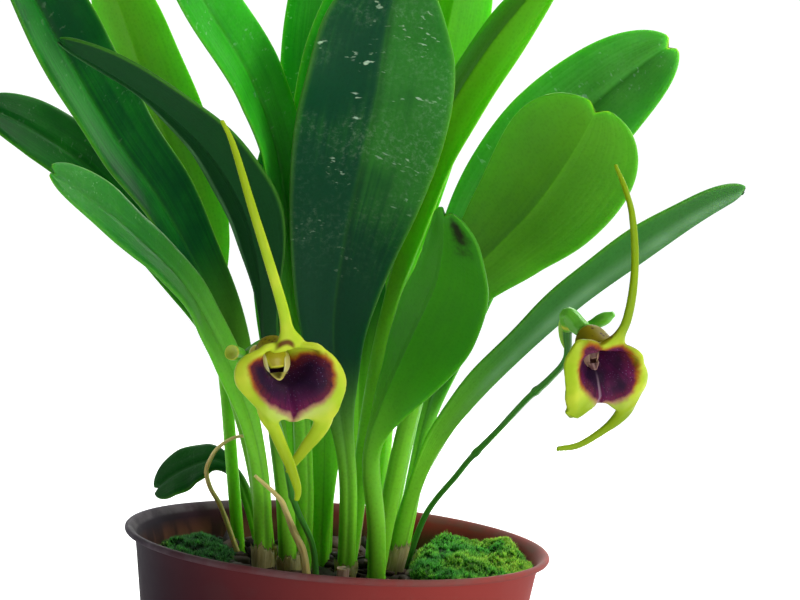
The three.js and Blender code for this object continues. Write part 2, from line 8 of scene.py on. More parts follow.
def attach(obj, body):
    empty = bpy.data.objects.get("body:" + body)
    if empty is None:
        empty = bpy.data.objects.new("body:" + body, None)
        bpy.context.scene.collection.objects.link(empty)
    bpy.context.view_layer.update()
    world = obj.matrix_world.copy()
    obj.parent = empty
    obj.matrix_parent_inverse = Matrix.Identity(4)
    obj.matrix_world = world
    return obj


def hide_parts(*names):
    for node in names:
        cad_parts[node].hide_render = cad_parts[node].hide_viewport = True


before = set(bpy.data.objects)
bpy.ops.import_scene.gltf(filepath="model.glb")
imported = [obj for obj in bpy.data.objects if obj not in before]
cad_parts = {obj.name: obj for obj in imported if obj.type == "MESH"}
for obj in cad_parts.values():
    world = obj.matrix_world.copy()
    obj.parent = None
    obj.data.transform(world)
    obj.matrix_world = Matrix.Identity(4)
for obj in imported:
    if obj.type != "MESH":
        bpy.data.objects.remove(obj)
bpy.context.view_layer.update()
mm = 0.001
print("frame loaded")


# short ways to make objects, nodes and materials

def addObject(name, data):
    item = bpy.data.objects.new(name, data)
    bpy.context.scene.collection.objects.link(item)
    return item

def toMesh(name, bm):  # writes the bmesh to a new mesh and frees it
    mesh = bpy.data.meshes.new(name)
    bm.to_mesh(mesh)
    bm.free()
    return mesh

class Wire:  # a node's output, which plain arithmetic works on
    def __init__(self, board, socket):
        self.board, self.socket = board, socket

    def __add__(self, other):
        return self.board.maths("ADD", self, other)

    def __sub__(self, other):
        return self.board.maths("SUBTRACT", self, other)

    def __rsub__(self, other):
        return self.board.maths("SUBTRACT", other, self)

    def __mul__(self, other):
        return self.board.maths("MULTIPLY", self, other)

    def __abs__(self):
        return self.board.maths("ABSOLUTE", self)

class Board:  # a node tree, with short ways to add and wire its nodes
    def __init__(self, tree):
        self.tree = tree

    def feed(self, socket, value):
        value = getattr(value, "socket", value)
        if hasattr(value, "is_output"):
            self.tree.links.new(value, socket)
        elif value is not None:
            if hasattr(value, "__len__") and len(value) == 3 and socket.type == "RGBA":
                value = (*value, 1.0)
            socket.default_value = value

    def fill(self, node, **values):  # feeds the sockets with these names
        for name, value in values.items():
            self.feed(node.inputs[name], value)
        return node

    def add(self, kind, *values, **settings):  # the values feed the node's first sockets
        node = self.tree.nodes.new(kind)
        for key, value in settings.items():
            setattr(node, key, value)
        for socket, value in zip(node.inputs, values):
            self.feed(socket, value)
        row, column = divmod(len(self.tree.nodes), 12)
        node.location = (180 * column, -220 * row)
        return node

    def result(self, node, output=0):
        return Wire(self, node.outputs[output])

    def maths(self, operation, a, b=None, clamp=False):
        return self.result(self.add("ShaderNodeMath", a, b, operation=operation, use_clamp=clamp))

    def rescale(self, value, fromLow, fromHigh, low=0.0, high=1.0, kind="SMOOTHSTEP"):
        node = self.add("ShaderNodeMapRange", value, fromLow, fromHigh, low, high, interpolation_type=kind)
        return self.result(node)

    def mix(self, factor, a, b, blend="MIX"):
        node = self.add("ShaderNodeMix", factor, data_type="RGBA", blend_type=blend)
        self.feed(node.inputs[6], a)
        self.feed(node.inputs[7], b)
        return self.result(node, 2)

    def ramp(self, factor, stops):
        node = self.add("ShaderNodeValToRGB", factor)
        marks = node.color_ramp.elements
        while len(marks) < len(stops):
            marks.new(1.0)
        for mark, (at, colour) in zip(marks, stops):
            mark.position = at
            mark.color = (*colour, 1.0)
        return self.result(node)

    def noise(self, vector, scale, detail=2.0, roughness=0.5):
        node = self.add("ShaderNodeTexNoise")
        return self.result(self.fill(node, Vector=vector, Scale=scale, Detail=detail, Roughness=roughness))

    def cells(self, vector, scale):
        return self.result(self.fill(self.add("ShaderNodeTexVoronoi"), Vector=vector, Scale=scale), "Distance")

    def attribute(self, name):
        return self.result(self.add("ShaderNodeAttribute", attribute_name=name), "Fac")

    def place(self, kind="Object"):
        return self.result(self.add("ShaderNodeTexCoord"), kind)

    def stretched(self, vector, factors):
        return self.result(self.add("ShaderNodeVectorMath", vector, factors, operation="MULTIPLY"))

    def joined(self, x, y, z=0.0):
        return self.result(self.add("ShaderNodeCombineXYZ", x, y, z))

    def split(self, vector):
        return self.wires(self.add("ShaderNodeSeparateXYZ", vector)).values()

    def wires(self, node):
        return {output.name: Wire(self, output) for output in node.outputs}

    def effect(self, group, **values):
        return self.wires(self.fill(self.add("ShaderNodeGroup", node_tree=group), **values))

# an empty shader node group with its board, its inputs' wires and its output node
def newEffect(name, inputs, outputs):
    group = bpy.data.node_groups.new(name, "ShaderNodeTree")
    for way, sockets in (("INPUT", inputs), ("OUTPUT", outputs)):
        for kind, labels in sockets.items():
            for label in labels:
                group.interface.new_socket(label, in_out=way, socket_type="NodeSocket" + kind)
    board = Board(group)
    return group, board, board.wires(board.add("NodeGroupInput")), board.add("NodeGroupOutput")

def newMaterial(name, glow=(), **constants):  # glow is the weight, reach and scale of the light inside
    material = bpy.data.materials.new(name)
    material.use_nodes = True
    board = Board(material.node_tree)
    shader = material.node_tree.nodes["Principled BSDF"]
    constants.update(zip(("Subsurface_Weight", "Subsurface_Radius", "Subsurface_Scale"), glow))
    board.fill(shader, **{label.replace("_", " "): value for label, value in constants.items()})
    return material, board, shader

def finishMaterial(board, shader, colour, roughness, height=None, strength=0.0, depth=0.0):
    board.fill(shader, **{"Base Color": colour, "Roughness": roughness})
    if height is not None:
        bump = board.fill(board.add("ShaderNodeBump"), Strength=strength, Distance=depth * mm, Height=height)
        board.fill(shader, Normal=board.result(bump))


# studio: camera, air, lights and floor

cameraSetup = {"place": (7.9, -338.0, 126.8), "tiltDown": 2.28, "roll": 4.8, "lens": 81.0, "sensor": 36.0}
airSetup = {
    "back": 1.12, "front": 0.15, "shade": 0.03, "tint": (0.96, 0.98, 1.0),
    "sideFade": (-0.7, 0.6), "backFade": (-0.3, 0.6),
}
lightSetup = [
    {
        "name": "backGlow", "place": (0.12, 0.75, 0.42), "aim": (0, 0, 0.12), "size": 0.9, "power": 6.0,
        "colour": (1.0, 1.0, 0.97),
    },
    {
        "name": "topKey", "place": (0.4, 0.05, 0.75), "aim": (0, 0, 0.11), "size": 0.4, "power": 4.5,
        "colour": (1.0, 0.98, 0.95),
    },
    {
        "name": "frontFill", "place": (0.6, -0.55, 0.16), "aim": (0, 0, 0.07), "size": 0.4, "power": 3.2,
        "colour": (1.0, 0.96, 0.93),
    },
]
floorSetup = {
    "size": 6.0, "pool": (0.03, 0.29), "glow": (0.6, 0.61, 0.62), "grain": 40.0, "rough": 0.7,
    "near": [(0.46, 0.46, 0.47), (0.5, 0.5, 0.51)], "far": [(0.78, 0.79, 0.79), (0.82, 0.82, 0.82)],
}

def placeCamera(setup):
    lens = bpy.data.cameras.new("studioCamera")
    lens.sensor_width = setup["sensor"]
    lens.lens = setup["lens"]
    camera = addObject("studioCamera", lens)
    tilt = Matrix.Rotation(math.radians(90 - setup["tiltDown"]), 4, "X")
    roll = Matrix.Rotation(math.radians(setup["roll"]), 4, "Z")
    camera.matrix_world = Matrix.Translation(Vector(setup["place"]) * mm) @ tilt @ roll
    bpy.context.scene.camera = camera

def lightStudio(air, lights):
    world = bpy.data.worlds.new("studioAir")
    world.use_nodes = True
    bpy.context.scene.world = world
    board = Board(world.node_tree)
    x, y, z = board.split(board.place("Generated"))
    front = board.rescale(x, *air["sideFade"], air["shade"], air["front"])
    strength = board.rescale(y, *air["backFade"], front, air["back"])
    seen = board.result(board.add("ShaderNodeLightPath"), "Is Camera Ray")
    strength = board.rescale(seen, 0.0, 1.0, strength, air["back"], "LINEAR")
    board.fill(world.node_tree.nodes["Background"], Color=air["tint"], Strength=strength)
    for setup in lights:
        lamp = bpy.data.lights.new(setup["name"], "AREA")
        lamp.shape, lamp.size, lamp.energy, lamp.color = "DISK", setup["size"], setup["power"], setup["colour"]
        holder = addObject(setup["name"], lamp)
        aim = Vector(setup["aim"]) - Vector(setup["place"])
        holder.matrix_world = Matrix.Translation(setup["place"]) @ aim.to_track_quat("-Z", "Y").to_matrix().to_4x4()
        holder.visible_camera = False

def makeFloor(setup):
    material, board, shader = newMaterial("paleFloor")
    place = board.place()
    radius = board.result(board.add("ShaderNodeVectorMath", place, operation="LENGTH"), "Value")
    # painted light: away from the plant the floor glows white though it is no lamp, and near the plant it is a plain
    # grey
    far = board.rescale(radius, *setup["pool"])
    glow = board.mix(far, (0.0, 0.0, 0.0), setup["glow"])
    board.fill(shader, **{"Emission Color": glow, "Emission Strength": 1.0})
    tones = [board.mix(far, near, away) for near, away in zip(setup["near"], setup["far"])]
    finishMaterial(board, shader, board.mix(board.noise(place, setup["grain"], 3.0), *tones), setup["rough"])
    bm = bmesh.new()
    bmesh.ops.create_grid(bm, x_segments=4, y_segments=4, size=setup["size"])
    floor = addObject("studioFloor", toMesh("studioFloor", bm))
    floor.data.materials.append(material)

placeCamera(cameraSetup)
bpy.context.scene.view_settings.view_transform = "Standard"
lightStudio(airSetup, lightSetup)
makeFloor(floorSetup)
print("studio ready")


# shapes shared by the pieces

soilTop, stemDepth = 60.0, 8.0  # the bark's top, and how far each stem stands in it
anyTurn = (0, 6.3)

def between(low, high, share):
    return low + (high - low) * share

def easing(low, high, value):
    share = min(1.0, max(0.0, (value - low) / (high - low)))
    return share * share * (3 - 2 * share)

def bell(value, width):
    return math.exp(-(value / width) ** 2)

def curve(a, b, c, d, t):  # from b to c, with a before them and d after
    return 0.5 * (2 * b + (c - a) * t + (2 * a - 5 * b + 4 * c - d) * t * t + (3 * b - a - 3 * c + d) * t ** 3)

def valueAt(values, share):  # a smooth value through a list of evenly spaced ones
    reach = min(max(share, 0.0), 1.0) * (len(values) - 1)
    i = min(int(reach), len(values) - 2)
    return curve(values[max(i - 1, 0)], values[i], values[i + 1], values[min(i + 2, len(values) - 1)], reach - i)

class Run:  # a smooth run through points, read by the share of its length
    def __init__(self, points, fine=40):
        spots = [Vector(p) for p in points]
        spots = [2 * spots[0] - spots[1], *spots, 2 * spots[-1] - spots[-2]]
        self.spots = []
        for corners in zip(spots, spots[1:], spots[2:], spots[3:]):
            self.spots += [curve(*corners, step / fine) for step in range(fine)]
        self.spots.append(spots[-2])
        self.marks = [0.0]
        for a, b in zip(self.spots, self.spots[1:]):
            self.marks.append(self.marks[-1] + (b - a).length)
        self.length = self.marks[-1]

    def spot(self, share):
        want = min(1.0, max(0.0, share)) * self.length
        low, high = 0, len(self.marks) - 1
        while high - low > 1:
            middle = (low + high) // 2
            if self.marks[middle] <= want:
                low = middle
            else:
                high = middle
        part = (want - self.marks[low]) / max(1e-9, self.marks[high] - self.marks[low])
        return self.spots[low].lerp(self.spots[low + 1], part)

    def heading(self, share):
        return (self.spot(min(1.0, share + 0.004)) - self.spot(max(0.0, share - 0.004))).normalized()

    def frame(self, share, facing):
        heading = self.heading(share)
        up = Vector(facing)
        up = (up - heading * up.dot(heading)).normalized()
        return self.spot(share), heading, up, heading.cross(up)

def polar(radius, turn, z=0.0):
    return radius * math.cos(turn), radius * math.sin(turn), z

# a grid rolled into a closed skin; place gives each corner and its marks
def addSkin(bm, around, rows, place, marks=()):
    layers = [bm.verts.layers.float.get(name) or bm.verts.layers.float.new(name) for name in marks]
    grid = bmesh.ops.create_grid(bm, x_segments=around, y_segments=rows, size=0.5)["verts"]
    for vert in grid:
        turn, row = vert.co.x + 0.5, vert.co.y + 0.5
        spot, *values = place((turn % 1.0) * 2 * math.pi if turn < 0.9999 else 0.0, row)
        vert.co = spot
        for layer, value in zip(layers, values):
            vert[layer] = value
    bmesh.ops.remove_doubles(bm, verts=grid, dist=1e-4)

# placing for a stem with round ends
def roundedStem(run, radii, facing=(0.3, 1.0, 0.1), flat=1.0, groove=0.0, cap=0.02):
    def place(turn, row):
        share = min(1.0, max(0.0, (row - cap) / (1 - 2 * cap)))
        spot, heading, up, across = run.frame(share, facing)
        radius = radii(share) if callable(radii) else valueAt(radii, share)
        radius *= math.sqrt(max(0.0, 1 - (1 - min(1.0, row / cap, (1 - row) / cap)) ** 2))
        dent = 1 - groove * bell(math.sin(turn), 0.35) * (math.cos(turn) > 0)
        lower = flat(share) if callable(flat) else flat
        spot = spot + across * radius * math.sin(turn) + up * radius * lower * math.cos(turn) * dent
        return spot, share, math.sin(turn)
    return place

def rooted(foot, path):
    atSoil = Vector((*foot, soilTop))
    lean = (Vector(path[0]) - atSoil).normalized()
    return [tuple(atSoil - lean * stemDepth), tuple(atSoil), *path]

def pieceName(node, ending=""):
    first, *others = node.split("_")
    return first + "".join(word.capitalize() for word in others) + ending

def addPiece(bm, material, node, name=None):  # takes a bmesh in millimetres and stands for the node
    bmesh.ops.scale(bm, vec=(mm,) * 3, verts=bm.verts)
    bmesh.ops.recalc_face_normals(bm, faces=bm.faces)
    name = name or pieceName(node)
    mesh = toMesh(name, bm)
    mesh.shade_smooth()
    mesh.materials.append(material)
    piece = addObject(name, mesh)
    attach(piece, "root")
    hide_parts(node)
    return piece

def withModifiers(bm, *modifiers):  # the bmesh after these modifiers, in the same units
    mesh = toMesh("draft", bm)
    draft = addObject("draft", mesh)
    for kind, settings in modifiers:
        modifier = draft.modifiers.new(kind.lower(), kind)
        for key, value in settings.items():
            setattr(modifier, key, value)
    result = bmesh.new()
    result.from_mesh(draft.evaluated_get(bpy.context.evaluated_depsgraph_get()).to_mesh())
    bpy.data.objects.remove(draft)
    bpy.data.meshes.remove(mesh)
    return result


# leaves: each runs from its stem in the bark to its tip

leafShape = {
    "rib": 1.5, "edge": 0.72, "notch": 1.1, "notchFrom": 0.93, "notchWidth": 0.6, "channel": 0.42, "keel": 0.3,
    "wave": 0.35, "ripples": ((2.2, 3.6), (5, 8)), "groove": 0.28, "opening": 0.2, "around": 64, "along": 116,
    "footCap": 0.012, "tip": 0.9965, "tipRows": 1.45, "thinFrom": 0.97, "thinOver": 0.0265,
}
leafUsual = {
    "slot": "leaf", "stem": 1.7, "roundness": 2.3, "uneven": 0.0, "halves": 0.0, "shadow": 0.0, "paleTo": 0.6,
}
leafList = [
    {
        "node": "leaf_front_centre", "foot": (2, 3), "width": 26, "opens": 0.18, "widest": 0.78, "look": "scuffed",
        "facing": (0.1, -1, 0.3), "fold": 0.24, "halves": 0.42, "shadow": 0.4, "paleTo": 0.4,
        "rib": [
            (1, 1, 78), (-2, -2, 94), (-4, -6, 108), (-3, -12, 124), (-1, -19, 137), (1, -27, 149), (2, -34, 160),
            (4, -41, 170),
        ],
    },
    {
        "node": "leaf_front_right_short", "foot": (8, -6), "width": 16, "opens": 0.3, "widest": 0.72,
        "look": "middle", "uneven": -0.26, "facing": (0.62, 0.6, 0.52), "fold": 0.16, "scar": (-0.5, 0.95),
        "halves": 0.25,
        "rib": [
            (7, -8, 72), (5, -10, 85), (6.8, -14, 95), (9.5, -20, 103.5), (12, -27, 111), (14.3, -34, 118),
            (14.8, -41, 124.5), (14, -48, 130.5),
        ],
    },
    {
        "node": "leaf_right_broad", "foot": (7.6, 0), "width": 23.5, "opens": 0.36, "widest": 0.85, "look": "olive",
        "facing": (0.25, 1, 0.3), "fold": 0.14, "halves": 0.25,
        "rib": [
            (9, -1, 74), (11, -5, 90), (14, -9, 106), (19, -14, 118), (25, -20, 126), (30, -29, 133), (34, -40, 141),
            (37, -50, 149),
        ],
    },
    {
        "node": "leaf_right_back", "foot": (9, 10), "width": 22, "opens": 0.34, "widest": 0.78, "look": "dusty",
        "facing": (-0.1, -1, 0.5), "fold": 0.16,
        "rib": [
            (10, 9, 76), (12, 7, 92), (15, 4, 108), (19, 0, 121), (25.5, -4, 133.5), (33.5, -8, 144.5),
            (42.5, -12, 154.5), (53, -15, 164),
        ],
    },
    {
        "node": "leaf_right_low", "foot": (10.6, 5), "width": 13, "opens": 0.14, "widest": 0.72, "look": "cool",
        "roundness": 3.2, "sheen": (0.25, 0.36), "facing": (-0.5, 0.45, 0.75), "fold": 0.42,
        "rib": [
            (13, 3.5, 75), (16.8, -1, 86), (22.3, -6, 95.5), (30.6, -10, 106), (40, -12, 116), (49, -14, 124),
            (59.5, -13, 132.5), (69, -11, 139),
        ],
    },
    {
        "node": "leaf_back_right_tall", "foot": (2, 13), "width": 10.5, "opens": 0.36, "widest": 0.76, "look": "lime",
        "facing": (0.75, 0.5, 0.5), "fold": 0.3, "halves": -0.7,
        "rib": [
            (3, 13, 76), (4, 11, 92), (5.5, 9, 108), (7.5, 6, 122), (10.5, 2, 137), (15, -2, 150), (22, -8, 163),
            (32, -13, 177),
        ],
    },
    {
        "node": "leaf_back_right_upright", "foot": (7, 17), "width": 18, "opens": 0.36, "widest": 0.76,
        "look": "young", "facing": (-0.2, 1, 0.1), "fold": 0.2,
        "rib": [
            (7, 17, 77), (7, 17, 93), (7, 16, 111), (8, 15, 129), (9.5, 13, 146), (12, 11, 162), (14, 9, 177),
            (16, 8, 188),
        ],
    },
    {
        "node": "leaf_centre_left", "foot": (-3.2, 9), "width": 19, "opens": 0.04, "widest": 0.74, "look": "fresh",
        "facing": (0.1, -1, 0.2), "fold": 0.2,
        "rib": [
            (-3.9, 8, 78), (-5, 6, 95), (-6, 3, 112), (-6, -1, 128), (-5.5, -6, 142), (-4, -12, 155), (-1, -18, 168),
            (1, -23, 180),
        ],
    },
    {
        "node": "leaf_back_left_upright", "foot": (-3, 17), "width": 17, "opens": 0.24, "widest": 0.76,
        "look": "fresh", "facing": (0.1, -1, 0.1), "fold": 0.2,
        "rib": [
            (-4, 17, 78), (-6, 16, 96), (-7, 15, 114), (-8.5, 13, 132), (-10, 11, 148), (-10.5, 9, 163),
            (-10, 7, 176), (-8, 6, 187),
        ],
    },
    {
        "node": "leaf_left_bright", "foot": (-6.4, 4), "width": 14, "opens": 0.22, "widest": 0.76, "look": "fresh",
        "facing": (0.6, -0.75, 0.3), "fold": 0.3,
        "rib": [
            (-7.2, 3, 76), (-9.5, 1, 94), (-12.5, -1, 111), (-14.5, -5, 126), (-16.5, -12, 138), (-21, -24, 150),
            (-28.5, -36, 161), (-37, -44, 173),
        ],
    },
    {
        "node": "leaf_left_arching", "foot": (-8.6, -3), "width": 13, "opens": 0.36, "widest": 0.66, "look": "dark",
        "sheen": (0.88, 0.16), "facing": (0.2, 0.4, 0.9), "fold": 0.22, "paleTo": 0.4,
        "rib": [
            (-10.6, -3.9, 76), (-13.5, -5, 91), (-15.5, -7, 105), (-17.5, -10, 117), (-20.5, -18, 128),
            (-26, -27, 137), (-34, -34, 144), (-43, -39, 149), (-52, -41, 153),
        ],
    },
    {
        "node": "leaf_left_young", "slot": "young_leaf", "foot": (-20, 19.5), "width": 17, "opens": 0.34,
        "widest": 0.7, "look": "lime", "facing": (0.2, 0.9, 0.35), "fold": 0.16, "stem": 1.25,
        "rib": [
            (-22.5, 18.5, 76), (-25, 17.8, 92), (-28, 16.3, 108), (-32, 13, 123), (-37.5, 8.5, 137), (-43, 4.5, 150),
            (-48, 2, 162), (-54, 0, 175),
        ],
    },
    {
        "node": "leaf_left_long", "foot": (-13, 4), "width": 18.5, "opens": 0.12, "widest": 0.74, "look": "deep",
        "facing": (0.7, -0.6, 0.4), "fold": 0.34, "halves": -0.22, "shadow": 0.2, "paleTo": 0.5,
        "rib": [
            (-16, 4, 76), (-19.5, 3, 90), (-23.5, 1, 104), (-30, -5, 116), (-37, -13, 128), (-44.5, -22, 138.5),
            (-52, -32, 151), (-59, -38, 163), (-64, -41, 175),
        ],
    },
    {
        "node": "leaf_left_low", "foot": (-13.2, -4.7), "width": 10.2, "opens": 0.2, "widest": 0.72, "look": "pale",
        "roundness": 4.0, "facing": (0.35, -0.75, 0.6), "fold": 0.2, "paleTo": 0.8,
        "rib": [
            (-14.7, -6.3, 76), (-17.3, -8, 87.5), (-21, -11, 97), (-25.2, -17, 105.5), (-30.2, -28, 114.5),
            (-37, -40, 122), (-42.6, -48, 127), (-49, -54, 131.5),
        ],
    },
    {
        "node": "leaf_far_left", "foot": (-14, 12), "width": 16, "opens": 0.34, "widest": 0.74, "look": "deep",
        "roundness": 3.0, "facing": (0.3, -0.75, 0.6), "fold": 0.18,
        "rib": [
            (-17, 12, 76), (-22, 12, 91), (-27.5, 11, 103), (-35, 9, 115), (-44, 5, 125), (-53, 0, 133.5),
            (-62, -8, 139), (-70, -14, 142.5),
        ],
    },
    {
        "node": "leaf_small_back_left", "foot": (-15.5, 21), "width": 11, "opens": 0.5, "widest": 0.78,
        "look": "shaded", "roundness": 3.0, "facing": (-0.2, -0.7, 0.7), "fold": 0.08, "stem": 1.25,
        "rib": [
            (-19, 23, 69), (-22, 24.5, 74), (-26, 26.5, 76.5), (-30, 28, 75.5), (-35, 30, 72.5), (-39.5, 32, 68.5),
        ],
    },
    {
        "node": "leaf_rear_left", "foot": (-9, 22), "width": 17, "opens": 0.06, "widest": 0.74, "look": "deep",
        "facing": (0.1, -0.9, 0.5), "fold": 0.2,
        "rib": [(-11, 26, 78), (-13, 31, 95), (-15, 37, 111), (-16.5, 43, 126), (-18, 49, 139), (-19, 53, 149)],
    },
    {
        "node": "leaf_rear_centre", "foot": (2, 23), "width": 22, "opens": 0.2, "widest": 0.74, "look": "deep",
        "facing": (0, -1, 0.3), "fold": 0.18,
        "rib": [(2, 26, 80), (1, 30, 98), (1, 34, 116), (2, 38, 134), (3, 41, 150), (4, 43, 162)],
    },
    {
        "node": "leaf_rear_right", "foot": (12, 21), "width": 19, "opens": 0.3, "widest": 0.74, "look": "pale",
        "facing": (-0.5, -0.7, 0.6), "fold": 0.2,
        "rib": [(14, 25, 77), (16, 31, 92), (19, 38, 106), (22, 45, 119), (26, 52, 129), (31, 56.6, 137)],
    },
]

def makeLeafTissue():
    group, board, given, result = newEffect(
        "leafTissue",
        {
            "Vector": ["Place"], "Color": ["Light", "Deep", "Under", "Stem"],
            "Float": ["Across", "Along", "Upper", "StemTop", "Marks", "Halves", "Shadow"],
        },
        {"Color": ["Colour"], "Float": ["Gloss", "Height"]},
    )
    place, across, along, under = (given[label] for label in ("Place", "Across", "Along", "Under"))
    edge = abs(across)
    patch = board.noise(place, 55.0, 3.0, 0.55)
    fine = board.cells(place, 1500.0)
    veins = board.noise(board.joined(across * 16.0, along * 2.2), 1.0, 3.0)
    # painted light and shade: one half of the blade is painted lighter and the other darker, and a painted shadow
    # darkens the lower blade
    half = board.rescale(across, -0.1, 0.1, -0.5, 0.5) * given["Halves"] * board.rescale(along, 0.45, 0.75)
    half = half - given["Shadow"] * board.rescale(along, 0.78, 0.5)
    tone = half + veins * 0.4 + patch * 0.9 - 0.15
    upper = board.mix(board.rescale(tone, 0.2, 0.8), given["Deep"], given["Light"])
    lower = board.mix(board.rescale(tone, 0.2, 0.9), board.mix(0.35, under, given["Deep"]), under)
    colour = board.mix(given["Upper"], lower, upper)
    colour = board.mix(board.rescale(along, given["StemTop"], 0.15), colour, given["Stem"])
    colour = board.mix(board.rescale(edge, 0.07, 0.0) * 0.28, colour, under)
    rim = board.rescale(edge, 0.9, 1.0) * board.rescale(along, 0.35, 0.5)
    colour = board.mix(rim * 0.15, colour, given["Stem"])
    shade = board.rescale(fine, 0.0, 0.6, 0.92, 1.04)
    colour = board.mix(1.0, colour, board.joined(shade, shade, shade), "MULTIPLY")
    dashes = board.rescale(board.noise(board.joined(across * 6.0, along * 150.0), 1.0), 0.6, 0.7)
    dashes = dashes * board.rescale(board.noise(place, 150.0), 0.54, 0.62)
    dust = board.rescale(board.noise(place, 1100.0, 4.0, 0.7), 0.45, 0.8) * board.rescale(patch, 0.4, 0.7)
    reach = given["Marks"] * given["Upper"] * board.rescale(along, 0.45, 0.8)
    marks = board.maths("MULTIPLY", dashes + dust * 0.4, reach, clamp=True)
    board.fill(
        result, Colour=board.mix(marks, colour, (0.34, 0.48, 0.34)), Gloss=marks * 0.3 + (patch * 0.16 + 0.32),
        Height=veins * 0.7 + fine * 0.25 + patch * 0.5,
    )
    return group

leafTissue = makeLeafTissue()
leafTints = {"stem": (0.19, 0.57, 0.03), "sheen": (0.12, 0.27, 0.12), "scar": (0.012, 0.018, 0.006)}
leafLooks = {
    "deep": {
        "light": (0.008, 0.16, 0.008), "deep": (0.002, 0.04, 0.01), "under": (0.02, 0.12, 0.01), "marks": 0.1,
        "glow": 0.25, "shine": 0.05,
    },
    "dark": {
        "light": (0.008, 0.1, 0.01), "deep": (0.002, 0.035, 0.01), "under": (0.009, 0.055, 0.014), "marks": 0.05,
        "glow": 0.15, "shine": 0.07,
    },
    "shaded": {
        "light": (0.01, 0.09, 0.01), "deep": (0.004, 0.045, 0.01), "under": (0.02, 0.1, 0.01), "marks": 0.1,
        "glow": 0.1, "shine": 0.05,
    },
    "scuffed": {
        "light": (0.025, 0.17, 0.02), "deep": (0.002, 0.045, 0.016), "under": (0.025, 0.13, 0.012), "marks": 1.0,
        "glow": 0.25,
    },
    "dusty": {
        "light": (0.13, 0.42, 0.08), "deep": (0.06, 0.3, 0.035), "under": (0.04, 0.17, 0.02), "marks": 0.7,
        "glow": 0.6,
    },
    "middle": {
        "light": (0.03, 0.18, 0.012), "deep": (0.01, 0.1, 0.01), "under": (0.04, 0.26, 0.006), "marks": 0.2,
        "glow": 0.5,
    },
    "cool": {
        "light": (0.02, 0.125, 0.012), "deep": (0.008, 0.062, 0.009), "under": (0.026, 0.14, 0.018), "marks": 0.2,
        "glow": 0.3,
    },
    "pale": {
        "light": (0.032, 0.2, 0.026), "deep": (0.012, 0.13, 0.016), "under": (0.035, 0.16, 0.02), "marks": 0.3,
        "glow": 0.5,
    },
    "olive": {
        "light": (0.03, 0.16, 0.012), "deep": (0.012, 0.09, 0.01), "under": (0.095, 0.33, 0.014), "marks": 0.1,
        "glow": 0.5,
    },
    "fresh": {
        "light": (0.03, 0.36, 0.012), "deep": (0.01, 0.2, 0.008), "under": (0.04, 0.19, 0.012), "marks": 0.3,
        "glow": 0.65,
    },
    "lime": {
        "light": (0.04, 0.2, 0.012), "deep": (0.02, 0.12, 0.01), "under": (0.13, 0.42, 0.01), "marks": 0.05,
        "glow": 0.65,
    },
    "young": {
        "light": (0.05, 0.24, 0.01), "deep": (0.02, 0.15, 0.01), "under": (0.12, 0.52, 0.004), "marks": 0.05,
        "glow": 0.85,
    },
}

def makeLeafMaterial(name, look, leaf):
    material, board, shader = newMaterial(
        name + "Leaf", (look["glow"], (0.5, 1.0, 0.1), 0.003), IOR=1.42, Specular_IOR_Level=look.get("shine", 0.13),
    )
    across, along, upper = (board.attribute(mark) for mark in ("across", "along", "upper"))
    tissue = board.effect(
        leafTissue, Place=board.place(), Across=across, Along=along, Upper=upper, Light=look["light"],
        Deep=look["deep"], Under=look["under"], Stem=leafTints["stem"], StemTop=leaf["paleTo"],
        Marks=look["marks"], Halves=leaf["halves"], Shadow=leaf["shadow"],
    )
    colour = tissue["Colour"]
    # painted highlight: the sheen band is painted into the leaf's colour
    if "sheen" in leaf:  # a soft band of light along the blade
        side, spread = leaf["sheen"]
        cloudy = board.rescale(board.noise(board.place(), 90.0), 0.3, 0.7, 0.35, 0.8)
        band = board.rescale(abs(across - side), spread, 0.0) * cloudy * board.rescale(along, 0.3, 0.55)
        colour = board.mix(band, colour, leafTints["sheen"])
    if "scar" in leaf:
        side, reach = leaf["scar"]
        apart, away = across - side, (along - reach) * 6.0
        far = board.maths("SQRT", apart * apart + away * away)
        burnt = board.rescale(board.noise(board.place(), 420.0, 3.0, 0.6) * 0.5 + far, 0.62, 0.3)
        colour = board.mix(burnt, colour, leafTints["scar"])
    finishMaterial(board, shader, colour, tissue["Gloss"], tissue["Height"], strength=0.35, depth=0.18)
    return material

def halfWidth(share, leaf):
    opened = easing(leaf["opens"], leaf["widest"], share)
    towardsTip = max(0.0, (share - leaf["widest"]) / (1 - leaf["widest"]))
    return between(leaf["stem"], leaf["width"] / 2, opened) * math.sqrt(max(0.0, 1 - towardsTip ** leaf["roundness"]))

